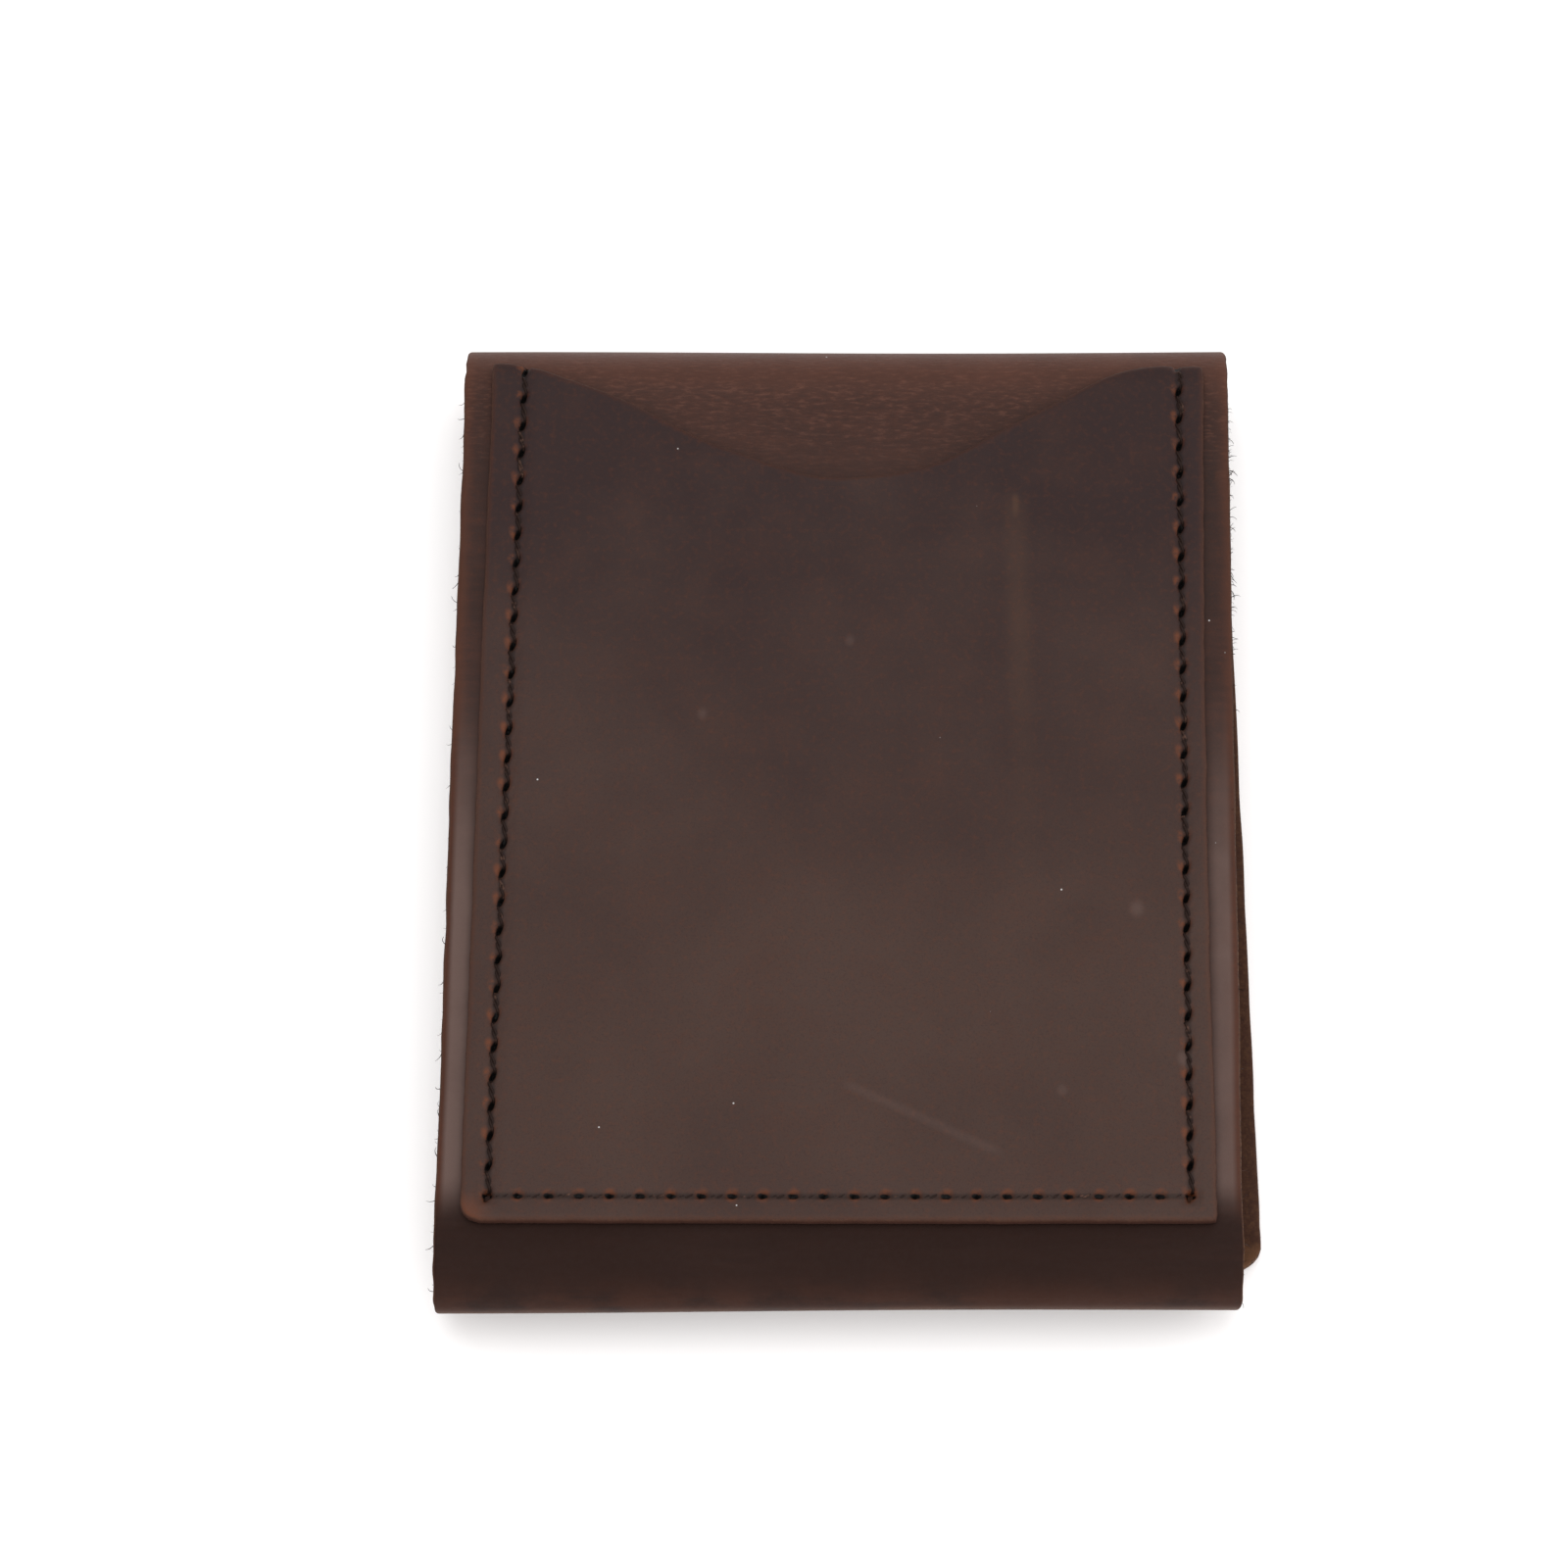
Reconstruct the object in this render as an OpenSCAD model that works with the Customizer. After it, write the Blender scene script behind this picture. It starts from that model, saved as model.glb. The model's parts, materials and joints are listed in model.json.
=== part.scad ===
// Flap-top business card case in heavy pull-up leather. Millimetres, +Z up.
// The case lies on its closed flap, whose outer face is at Z = 0, with the outer pocket on top.
// X runs across the case. Y runs from the bottom fold at -Y to the crease of the flap at +Y.
// One strip of leather makes the back wall, the bottom fold, the front wall and the flap.

/* [Shell] */
// Width of the leather strip
case_width = 77.8; // [70:0.1:96]
// Length over the bottom fold and the crease of the flap
case_length = 103; // [85:0.5:130]
// Room for cards between the front wall and the back wall
card_room = 6.4; // [5.6:0.1:10]
// Thickness of the strip
shell_leather = 1.7; // [1.4:0.1:2.2]
// Length of back wall beyond the mouth, where a thumb reaches the cards
mouth_length = 17.5; // [14:0.5:24]
// Radius of the corners at the mouth of the front wall
mouth_corner = 4; // [1:0.5:8]

/* [Flap] */
// How far the flap stops short of the bottom fold
flap_short = 5; // [2:0.5:20]
// Radius of the corners of the flap
flap_corner = 3.5; // [1:0.5:10]
// Angle by which the crease was folded out of square, in degrees
crease_skew = 0.75; // [0:0.05:2]

/* [Outer pocket] */
// Thickness of the pocket panel
pocket_leather = 1.2; // [0.8:0.1:1.6]
// Length of the pocket panel
pocket_length = 92; // [70:0.5:93]
// Distance from the bottom fold to the pocket panel
pocket_rise = 6.8; // [6:0.1:12]
// Margin of the strip left showing at each side of the pocket panel
pocket_margin = 2.5; // [1.5:0.1:4]
// Radius of the lower corners of the pocket panel
pocket_corner = 1.5; // [0.5:0.1:4]
// Depth of the scoop in the mouth of the pocket
scoop_depth = 12.9; // [5:0.1:20]
// How far the lowest point of the scoop lies to the right of the middle
scoop_shift = 1; // [-3:0.5:3]
// Reach of the scoop to the left of its lowest point
scoop_left = 36.5; // [20:0.5:36.5]
// Reach of the scoop to the right of its lowest point
scoop_right = 31.5; // [20:0.5:33]
// Roundness of the scoop, where 1 is a plain wave and less is fuller
scoop_fullness = 0.85; // [0.6:0.05:1.2]

/* [Seams] */
// Aimed length of a stitch, which is then fitted to each seam
stitch_length = 3; // [2.4:0.1:4]
// Thickness of the waxed thread
thread = 0.7; // [0.5:0.05:0.8]
// Distance from the edge of the pocket panel to its seam
seam_inset = 2.6; // [2:0.1:4]
// Distance from the mouth of the pocket to the first stitch hole
seam_start = 1; // [0.8:0.1:3]

/* [Gussets] */
// Thickness of the gusset leather
gusset_leather = 0.8; // [0.6:0.1:1]
// Width of the flanges that are sewn to the walls
gusset_flange = 7; // [6.5:0.1:9]
// Depth of the pleat in each gusset
gusset_pleat = 1.5; // [0.5:0.1:2.5]

/* [Magnetic closure] */
// Diameter of each magnet
magnet_d = 12; // [8:0.5:16]
// Thickness of each magnet
magnet_t = 0.9; // [0.6:0.1:1]
// Distance from the end of the flap to the middle of its magnet
magnet_setback = 17; // [15:0.5:30]
// Side of the square leather cover over each magnet
cover_side = 24; // [20:0.5:28]
// Thickness of the leather covers
cover_leather = 0.6; // [0.4:0.1:0.8]

/* [Hidden] */
// clearance round a magnet in its recess
magnet_clearance = 0.1;
// clearance between the cover on the flap and the front wall
cover_clearance = 0.4;
// clearance round the thread in its holes
hole_clearance = 0.05;
// how far the edges of the strip draw in where it bends at the crease
crease_draw = 0.1;
// gap between the moving stretches of the crease
crease_gap = 0.15;
// angle of the crease at which each hinge line lies, above and below its middle
hinge_angle = 45;
// corner radius of the magnet covers
cover_corner = 2;
// height of a stitch above the leather, and over its holes, as shares of the thread
stitch_height = thread * 0.5;
stitch_dip = thread * 0.2;
// distance from a gusset's outer edge to the edge of the wall that it is sewn to
gusset_edge = 1;
// distance from the bottom seam to the gussets
gusset_start = 1;
// spare length past a cut
over = 1;
// straight steps along each side of the scoop
scoop_steps = 18;

// faces of the layers, from the flap up
flap_gap = cover_leather + cover_clearance;
front_z = shell_leather + flap_gap;
room_z = front_z + shell_leather;
back_z = room_z + card_room;
top_z = back_z + shell_leather;

// the crease of the flap, and the bottom fold
crease_r = top_z / 2;
crease_y = case_length / 2 - crease_r;
crease_width = case_width - 2 * crease_draw;
crease_gap_angle = crease_gap / crease_r * 180 / PI;
bottom_r = (top_z - front_z) / 2;
bottom_y = -case_length / 2 + bottom_r;
bottom_z = (top_z + front_z) / 2;

// the free ends of the strip
mouth_y = case_length / 2 - mouth_length;
flap_length = crease_y + case_length / 2 - flap_short;

// the outer pocket and its seam
pocket_width = case_width - 2 * pocket_margin;
pocket_y = -case_length / 2 + pocket_rise;
pocket_top_y = pocket_y + pocket_length;
seam_x = pocket_width / 2 - seam_inset;
seam_y = pocket_y + seam_inset;
side_seam = pocket_top_y - seam_start - seam_y;
side_stitches = round(side_seam / stitch_length);
bottom_stitches = round(2 * seam_x / stitch_length);

// the gussets and the seams that hold them to the front wall
gusset_y = seam_y + gusset_start;
gusset_out = case_width / 2 - gusset_edge;
gusset_in = gusset_out - gusset_flange;
flange_end_y = crease_y - case_width / 2 * tan(crease_skew) - gusset_start;
front_seam_y = gusset_y + gusset_start;
front_seam = mouth_y - mouth_corner - front_seam_y;
front_stitches = round(front_seam / stitch_length);

// the magnets: one in the flap, on the flap's own middle line, and one in the front wall
magnet_run = flap_length - magnet_setback;
magnet_y = crease_y - magnet_run;

// hole places along one row of stitches
function row(start, length, stitches) = [for (i = [0:stitches]) start + i * length / stitches];
side_holes = row(seam_y, side_seam, side_stitches);
bottom_holes = row(-seam_x, 2 * seam_x, bottom_stitches);
front_holes = row(front_seam_y, front_seam, front_stitches);

// a flat strip from y = 0 to y = length, with its far corners rounded
module tongue(width, length, corner) {
    translate([-width / 2, 0]) square([width, length - corner]);
    translate([-width / 2 + corner, 0]) square([width - 2 * corner, length]);
    for (side = [-1, 1]) translate([side * (width / 2 - corner), length - corner]) circle(corner, $fn = 48);
}

// a square with rounded corners, centred
module rounded_square(side, corner) {
    square([side, side - 2 * corner], center = true);
    square([side - 2 * corner, side], center = true);
    for (x = [-1, 1], y = [-1, 1])
        translate([x, y] * (side / 2 - corner)) circle(corner, $fn = 48);
}

// the strip bent round the X axis, between two angles counted from +Y towards +Z
module bent_strip(outer_r, width, from, to) {
    rotate([90, 0, 90])
        translate([0, 0, -width / 2])
            rotate([0, 0, from])
                rotate_extrude(angle = to - from, $fn = 96)
                    translate([outer_r - shell_leather, 0])
                        square([shell_leather, width]);
}

// the middle of the crease, turned by its skew
module at_crease() {
    translate([0, crease_y, crease_r]) rotate([0, 0, crease_skew]) children();
}

// an oversize flat stretch that runs into a bend at the crease, to be cut to the strip's outline
module flat_and_bend(height, from, to) {
    width = case_width + 4 * over;
    at_crease() {
        translate([-width / 2, -case_length, height]) cube([width, case_length, shell_leather]);
        bent_strip(crease_r, width, from, to);
    }
}

// the outer face of the flap, with +Y towards the crease
module on_flap() {
    translate([0, crease_y, 0]) rotate([0, 0, 2 * crease_skew]) children();
}

// one stitch hole through everything between two heights
module stitch_hole(x, y, low, high) {
    side = thread + 2 * hole_clearance;
    translate([x - side / 2, y - side / 2, low]) cube([side, side, high - low]);
}

module side_seam_holes(low, high) {
    for (side = [-1, 1], y = side_holes) stitch_hole(side * seam_x, y, low, high);
}

module bottom_seam_holes(low, high) {
    for (x = bottom_holes) stitch_hole(x, seam_y, low, high);
}

// one row of thread along +X: raised stitches, low over each hole, with a leg down into it
module stitch_row(length, stitches, leg) {
    places = row(0, length, stitches);
    half = thread / 2;
    top = [
        for (i = [0:stitches - 1]) each [
            [places[i] + half, stitch_dip],
            [places[i] + thread, stitch_height],
            [places[i + 1] - thread, stitch_height],
            [places[i + 1] - half, stitch_dip],
        ]
    ];
    legs = [
        for (i = [stitches:-1:0]) each [
            [places[i] + half, 0],
            [places[i] + half, -leg],
            [places[i] - half, -leg],
            [places[i] - half, 0],
        ]
    ];
    ends = [[length + half, stitch_dip]];
    rotate([90, 0, 0])
        linear_extrude(thread, center = true)
            polygon(concat([[-half, stitch_dip]], top, ends, legs));
}

// the same row along +Y
module stitch_column(length, stitches, leg) {
    rotate([0, 0, 90]) stitch_row(length, stitches, leg);
}

function scoop_drop(x) =
    let (reach = x < scoop_shift ? scoop_left : scoop_right)
    let (share = min(1, abs(x - scoop_shift) / reach))
    scoop_depth * pow((1 + cos(180 * share)) / 2, scoop_fullness);

// the cut that shapes the mouth of the outer pocket
module scoop() {
    step_left = scoop_left / scoop_steps;
    step_right = scoop_right / scoop_steps;
    places = concat(
        [for (i = [-scoop_steps:-1]) scoop_shift + i * step_left],
        [for (i = [0:scoop_steps]) scoop_shift + i * step_right]
    );
    curve = [for (x = places) [x, pocket_top_y - scoop_drop(x)]];
    corners = [
        [scoop_shift + scoop_right, pocket_top_y + over],
        [scoop_shift - scoop_left, pocket_top_y + over],
    ];
    polygon(concat(curve, corners));
}

// back wall, bottom fold, front wall and the first stretch of the crease
module shell_case() {
    reach = 2 * case_length;
    color("#4a2e24")
    difference() {
        union() {
            translate([0, crease_y, back_z])
                linear_extrude(shell_leather)
                    intersection() {
                        translate([-case_width / 2, bottom_y - crease_y])
                            square([case_width, case_length]);
                        rotate(crease_skew) translate([-reach / 2, -reach]) square(reach);
                    }
            translate([0, bottom_y, bottom_z]) bent_strip(bottom_r, case_width, 90, 270);
            translate([0, bottom_y, front_z])
                linear_extrude(shell_leather)
                    tongue(case_width, mouth_y - bottom_y, mouth_corner);
            at_crease() bent_strip(crease_r, crease_width, hinge_angle, 90);
        }
        side_seam_holes(back_z - over, top_z + over);
        bottom_seam_holes(back_z - over, top_z + over);
        for (side = [-1, 1], y = front_holes)
            stitch_hole(side * seam_x, y, front_z - over, room_z + over);
        translate([0, magnet_y, room_z - magnet_t])
            cylinder(d = magnet_d + 2 * magnet_clearance, h = magnet_t + over, $fn = 64);
    }
}

// middle stretch of the crease
module shell_crease() {
    limit = hinge_angle - crease_gap_angle;
    color("#56352a") at_crease() bent_strip(crease_r, crease_width, -limit, limit);
}

// last stretch of the crease and the flap
module shell_flap() {
    color("#4a2e24")
    difference() {
        intersection() {
            flat_and_bend(-crease_r, -90, -hinge_angle);
            on_flap()
                translate([0, crease_r, -over])
                    linear_extrude(crease_r)
                        mirror([0, 1])
                            tongue(case_width, flap_length + crease_r, flap_corner);
        }
        on_flap()
            translate([0, -magnet_run, shell_leather - magnet_t])
                cylinder(d = magnet_d + 2 * magnet_clearance, h = magnet_t + over, $fn = 64);
    }
}

// scooped panel sewn to the back wall along three sides
module outer_pocket() {
    color("#443430")
    difference() {
        translate([0, 0, top_z])
            linear_extrude(pocket_leather)
                difference() {
                    translate([0, pocket_top_y])
                        mirror([0, 1])
                            tongue(pocket_width, pocket_length, pocket_corner);
                    scoop();
                }
        side_seam_holes(top_z - over, top_z + pocket_leather + over);
        bottom_seam_holes(top_z - over, top_z + pocket_leather + over);
    }
}

// thread on the face of the pocket, down to the middle of the back wall
module pocket_needle_thread() {
    leg = pocket_leather + shell_leather / 2;
    color("#1c1412")
    translate([0, 0, top_z + pocket_leather]) {
        for (side = [-1, 1])
            translate([side * seam_x, seam_y, 0]) stitch_column(side_seam, side_stitches, leg);
        translate([-seam_x, seam_y, 0]) stitch_row(2 * seam_x, bottom_stitches, leg);
    }
}

// thread inside the case: its side rows also hold the gussets, its bottom row lies on the wall
module pocket_bobbin_thread() {
    leg = shell_leather / 2;
    color("#1c1412") {
        for (side = [-1, 1])
            translate([side * seam_x, seam_y, back_z - gusset_leather])
                mirror([0, 0, 1])
                    stitch_column(side_seam, side_stitches, leg + gusset_leather);
        translate([-seam_x, seam_y, back_z])
            mirror([0, 0, 1])
                stitch_row(2 * seam_x, bottom_stitches, leg);
    }
}

// right-hand gusset: a thin channel with a pleat, open outwards
module gusset() {
    middle_z = (room_z + back_z) / 2;
    pleat_in = gusset_in - gusset_pleat;
    wall = gusset_leather * 1.1;
    difference() {
        union() {
            translate([0, mouth_y, 0])
                rotate([90, 0, 0])
                    linear_extrude(mouth_y - gusset_y)
                        polygon([
                            [gusset_out, back_z],
                            [gusset_in, back_z],
                            [pleat_in, middle_z],
                            [gusset_in, room_z],
                            [gusset_out, room_z],
                            [gusset_out, room_z + gusset_leather],
                            [gusset_in + wall, room_z + gusset_leather],
                            [pleat_in + wall, middle_z],
                            [gusset_in + wall, back_z - gusset_leather],
                            [gusset_out, back_z - gusset_leather],
                        ]);
            translate([gusset_in, mouth_y - over, back_z - gusset_leather])
                cube([gusset_flange, flange_end_y - mouth_y + over, gusset_leather]);
        }
        side_seam_holes(back_z - gusset_leather - over, back_z + over);
        for (y = front_holes) stitch_hole(seam_x, y, room_z - over, room_z + gusset_leather + over);
    }
}

module gusset_left() {
    color("#3a2620") mirror([1, 0, 0]) gusset();
}

module gusset_right() {
    color("#3a2620") gusset();
}

// both threads of the seam that holds a gusset to the front wall
module front_thread(side) {
    middle = (shell_leather + gusset_leather) / 2;
    color("#1c1412") {
        translate([side * seam_x, front_seam_y, front_z])
            mirror([0, 0, 1])
                stitch_column(front_seam, front_stitches, middle);
        translate([side * seam_x, front_seam_y, room_z + gusset_leather])
            stitch_column(front_seam, front_stitches, middle);
    }
}

module front_thread_left() {
    front_thread(-1);
}

module front_thread_right() {
    front_thread(1);
}

module magnet() {
    color("#9a9da0") cylinder(d = magnet_d, h = magnet_t, $fn = 64);
}

module magnet_cover() {
    color("#3a2620") linear_extrude(cover_leather) rounded_square(cover_side, cover_corner);
}

module front_magnet() {
    translate([0, magnet_y, room_z - magnet_t]) magnet();
}

module front_magnet_cover() {
    translate([0, magnet_y, room_z]) magnet_cover();
}

module flap_magnet() {
    on_flap() translate([0, -magnet_run, shell_leather - magnet_t]) magnet();
}

module flap_magnet_cover() {
    on_flap() translate([0, -magnet_run, shell_leather]) magnet_cover();
}

shell_case();
shell_crease();
shell_flap();
outer_pocket();
pocket_needle_thread();
pocket_bobbin_thread();
gusset_left();
gusset_right();
front_thread_left();
front_thread_right();
front_magnet();
front_magnet_cover();
flap_magnet();
flap_magnet_cover();
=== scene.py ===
import json
import math
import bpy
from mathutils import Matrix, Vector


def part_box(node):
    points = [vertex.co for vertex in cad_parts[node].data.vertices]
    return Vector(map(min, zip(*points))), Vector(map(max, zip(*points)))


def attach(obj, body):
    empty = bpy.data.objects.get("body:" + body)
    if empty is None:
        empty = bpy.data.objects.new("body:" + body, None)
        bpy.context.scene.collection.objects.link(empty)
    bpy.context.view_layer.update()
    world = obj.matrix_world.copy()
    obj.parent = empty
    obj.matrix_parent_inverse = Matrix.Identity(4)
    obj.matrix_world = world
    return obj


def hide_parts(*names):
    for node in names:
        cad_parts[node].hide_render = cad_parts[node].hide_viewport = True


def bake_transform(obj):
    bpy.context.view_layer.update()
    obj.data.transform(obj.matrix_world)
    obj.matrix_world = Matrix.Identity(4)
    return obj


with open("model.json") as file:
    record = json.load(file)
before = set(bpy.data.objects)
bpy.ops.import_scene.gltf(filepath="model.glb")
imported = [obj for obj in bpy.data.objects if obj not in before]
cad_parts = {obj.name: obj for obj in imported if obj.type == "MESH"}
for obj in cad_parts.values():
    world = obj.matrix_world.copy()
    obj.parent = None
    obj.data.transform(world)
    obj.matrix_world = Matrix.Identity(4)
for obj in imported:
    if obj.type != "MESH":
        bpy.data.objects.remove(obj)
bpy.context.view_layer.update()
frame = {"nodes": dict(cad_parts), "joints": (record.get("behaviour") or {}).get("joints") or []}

from types import SimpleNamespace

import bpy
import numpy as np
from bpy.props import FloatProperty, FloatVectorProperty, IntProperty, PointerProperty
from mathutils import Matrix, Vector
from mathutils.kdtree import KDTree

bl_info = {
    "name": "Card case finish",
    "version": (1, 0, 0),
    "blender": (4, 5, 0),
    "location": "3D View > Sidebar > Card case",
    "description": "Builds the leather, stitching and stage of a folded card case over its solid frame",
    "category": "Object",
}

MM = 0.001
MARGIN = 5.0  # width of the shell's side margins that droop
MOUTH_STRETCH = 18.0  # how far below its top the pocket's mesh starts to follow the scoop
SCRATCH_START = (0.4, -30.7)  # the upper end of the pocket's short scratch
SCRATCH_WAY = (0.905, 0.425)  # how far it runs across and down for each millimetre
# pale spots on the pocket: across, up, size and strength
SPOTS = ((28.9, -12.5, 1.1, 0.34), (33.4, -28.2, 0.9, 0.36), (21.5, -31.4, 0.7, 0.22),
         (-14.0, 8.3, 0.9, 0.25), (0.6, 16.2, 0.7, 0.2))
COVER_CORNER = 2.0  # corner radius of the magnet covers
UV_SCALE = 100.0  # millimetres to one unit of the flat UV layer

# the rounded edge from grain side to flesh side: degrees round it, share of the rounding, whether it hangs
# from the grain side, how far it counts as grain, and how far as cut edge
EDGE_STEPS = ((28, 1.0, True, 0.75, 0.1), (58, 1.0, True, 0.3, 0.55), (90, 1.0, True, 0.0, 1.0),
              (90, 0.6, False, 0.0, 1.0), (55, 0.6, False, 0.0, 0.6))


# ---- settings


def length(name, description, default):
    return FloatProperty(name=name, description=description, default=default, unit="LENGTH", precision=5)


def colour(name, description, default):
    return FloatVectorProperty(name=name, description=description, default=default, subtype="COLOR", size=4,
                               min=0.0, max=1.0)


class CaseSizes(bpy.types.PropertyGroup):
    front_length: length("Front wall length", "From the mouth edge down to the bottom fold", 0.0806)
    flap_length: length("Flap length", "From the crease to the flap's end, laid flat", 0.09175)
    mouth_corner: length("Mouth corner", "Corner radius of the front wall's mouth edge", 0.004)
    flap_corner: length("Flap corner", "Height of the eased corners at the flap's end", 0.0026)
    shell_rim: length("Shell edge rounding", "How far the cut edge of the shell is rounded over", 0.00042)
    pocket_rim: length("Pocket edge rounding", "How far the cut edge of the pocket is rounded over", 0.00045)
    edge_droop: length("Edge droop", "How far the shell's side margins curl down", 0.00042)
    bottom_skew: FloatProperty(name="Bottom fold skew", description="Turn of the bottom fold",
                               unit="ROTATION", default=math.radians(0.9))
    scoop_depth: length("Thumb scoop depth", "Depth of the curved cut at the pocket's mouth", 0.0129)
    scoop_left: length("Thumb scoop left reach", "From the deepest point to the left end", 0.0365)
    scoop_right: length("Thumb scoop right reach", "From the deepest point to the right end", 0.0315)
    scoop_shift: length("Thumb scoop shift", "Deepest point from the centre line", 0.001)
    pocket_corner: length("Pocket corner", "Corner radius at the pocket's lower left", 0.0016)
    seam_inset: length("Seam inset", "Seam line from the pocket's edge", 0.0026)
    seam_lean: length("Seam lean", "How far the left row leans inwards at the top", 0.0011)
    stitch_pitch: length("Stitch pitch", "Usual distance between two holes", 0.003)
    strand: length("Strand radius", "Radius of one of the two strands of the thread", 0.00016)
    groove: length("Seam groove", "How deep the seam line is pulled in", 0.0002)
    hole_depth: length("Hole depth", "How deep a stitch hole is drawn in", 0.0007)
    gusset_leather: length("Gusset leather", "Thickness of the gusset leather", 0.0008)
    fibre: length("Fibre length", "Longest loose fibre at the cut edges", 0.0011)
    spacing: length("Mesh spacing", "Distance between mesh rows of the pocket", 0.00034)


class CaseColours(bpy.types.PropertyGroup):
    # On the pocket, cocoa and umber make a painted sheen: paler from the mouth down to the foot, where more
    # of the light's reflection falls. Cocoa is also a plain tone of the gussets.
    cocoa: colour("Cocoa", "Darker leather towards the pocket's mouth", (0.0200, 0.0090, 0.0086, 1))
    umber: colour("Umber", "Paler leather towards the pocket's foot", (0.0455, 0.0238, 0.0178, 1))
    shell_brown: colour("Shell brown", "Main colour of the shell", (0.0420, 0.0150, 0.0095, 1))
    shell_dark: colour("Shell dark", "Darker streaks of the shell", (0.0210, 0.0090, 0.0068, 1))
    # Painted shade: the bottom fold's face towards the near side gets little light, and this dark colour
    # stands in for that shade.
    fold: colour("Fold", "Dark waxed band of the bottom fold", (0.0140, 0.0044, 0.0024, 1))
    # Far fold also paints a highlight on the crease's crest.
    far_fold: colour("Far fold", "Warm brown at the far fold", (0.1000, 0.0400, 0.0260, 1))
    low_fold: colour("Low fold", "Reddish brown low on the bottom fold", (0.0400, 0.0125, 0.0060, 1))
    # Used as painted sheen on the shell's side margins, where the side lights reflect; on the pocket it
    # paints real pale spots and the scratch.
    bloom: colour("Bloom", "Greyish wax bloom on the side margins", (0.105, 0.066, 0.056, 1))
    rust: colour("Rust", "Pulled-up wax at holes and edges", (0.115, 0.034, 0.013, 1))
    tan: colour("Tan", "Cut edges", (0.115, 0.054, 0.026, 1))
    suede: colour("Suede", "Flesh side", (0.040, 0.0165, 0.0105, 1))
    # Painted shade: the near black inside a stitch hole.
    hole: colour("Hole", "Inside of a stitch hole", (0.0018, 0.0012, 0.0011, 1))
    thread: colour("Thread", "Waxed thread", (0.0140, 0.0064, 0.0046, 1))
    # Painted highlight: pale spots on the thread stand in for light glinting on its waxed strands.
    thread_light: colour("Thread highlight", "Worn strands of the thread", (0.095, 0.050, 0.036, 1))
    nickel: colour("Nickel", "Magnet plating", (0.62, 0.61, 0.58, 1))
    floor: colour("Floor", "Plain surface under the case", (0.9, 0.9, 0.905, 1))


class CaseView(bpy.types.PropertyGroup):
    place: FloatVectorProperty(name="Camera place", description="Where the camera stands", size=3,
                               subtype="TRANSLATION", default=(-0.00295, -0.22568, 0.55346))
    yaw: FloatProperty(name="Camera yaw", description="Turn to the side", unit="ROTATION",
                       default=math.radians(-0.72))
    pitch: FloatProperty(name="Camera pitch", description="Angle below the horizon", unit="ROTATION",
                         default=math.radians(67.243))
    roll: FloatProperty(name="Camera roll", description="Tilt of the picture", unit="ROTATION",
                        default=math.radians(-0.03))
    lens: FloatProperty(name="Lens", description="Focal length in millimetres", default=136.0)
    key: FloatProperty(name="Main light", description="Power of the large soft light", unit="POWER",
                       default=6.0)
    fill: FloatProperty(name="Fill light", description="Power of the side fill", unit="POWER", default=3.0)
    front: FloatProperty(name="Front light", description="Power of the low light from the near side",
                         unit="POWER", default=5.0)
    sky: FloatProperty(name="Surround", description="Strength of the pale surround", default=0.8)
    seed: IntProperty(name="Seed", description="Seed of every random spread", default=7)


def sizes():
    return bpy.context.scene.card_case_sizes


def colours():
    """The colours as plain tuples."""
    group = bpy.context.scene.card_case_colours
    return SimpleNamespace(**{name: tuple(getattr(group, name)) for name in CaseColours.__annotations__})


def stage_settings():
    return bpy.context.scene.card_case_view


# ---- layout, in millimetres


class Layout:
    """Where the frame's pieces lie, in millimetres."""

    def __init__(self):
        self.box = {}
        for name in frame["nodes"]:
            low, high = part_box(name)
            self.box[name] = (np.array(low) / MM, np.array(high) / MM)
        low, high = self.box["shell_case"]
        self.half = high[0]
        self.front_z, self.top_z = low[2], high[2]
        self.bottom_r = (self.top_z - self.front_z) / 2
        self.bottom_y = low[1] + self.bottom_r
        self.bottom_z = self.front_z + self.bottom_r
        joint = {j["name"]: j for j in frame["joints"]}
        upper = np.array(joint["crease_bend"]["pos_m"]) / MM
        lower = np.array(joint["flap_bend"]["pos_m"]) / MM
        axis = joint["crease_bend"]["axis"]
        self.skew = math.atan2(axis[1], axis[0])
        reach = (upper[2] - lower[2]) / 2
        self.crease_r = reach * math.sqrt(2)
        self.crease_y = upper[1] - reach
        gusset_low, gusset_high = self.box["gusset_right"]
        self.room_z, self.back_z = gusset_low[2], gusset_high[2]
        self.leather = self.room_z - self.front_z
        pocket_low, pocket_high = self.box["outer_pocket"]
        self.pocket_half = pocket_high[0]
        self.pocket_y = (pocket_low[1], pocket_high[1])
        self.pocket_top = pocket_high[2]
        self.pocket_leather = pocket_high[2] - pocket_low[2]
        s = sizes()
        self.front = s.front_length / MM
        self.mouth_y = self.bottom_y + self.front
        self.fold_end = self.front + math.pi * self.bottom_r
        self.crease_start = self.fold_end + self.crease_y - self.bottom_y
        self.crease_middle = self.crease_start + math.pi / 2 * self.crease_r
        self.flap_start = self.crease_start + math.pi * self.crease_r
        self.flap_end = self.flap_start + s.flap_length / MM
        thread_low, thread_high = self.box["pocket_needle_thread"]
        self.seam_x = self.pocket_half - s.seam_inset / MM
        half_thread = thread_high[0] - self.seam_x
        self.seam_y = (thread_low[1] + half_thread, thread_high[1] - half_thread)
        front_low, front_high = self.box["front_thread_right"]
        self.front_seam_y = (front_low[1] + half_thread, front_high[1] - half_thread)


_layout = []


def layout():
    if not _layout:
        _layout.append(Layout())
    return _layout[0]


def ease(x, low, high):
    t = np.clip((np.asarray(x, float) - low) / (high - low), 0, 1)
    return t * t * (3 - 2 * t)


def swell(u, v):
    """Soft waviness of the leather, the same for the shell and what is sewn to it."""
    return 0.10 * np.sin(u * 0.07 + 0.8) * np.sin(v * 0.055)


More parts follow.
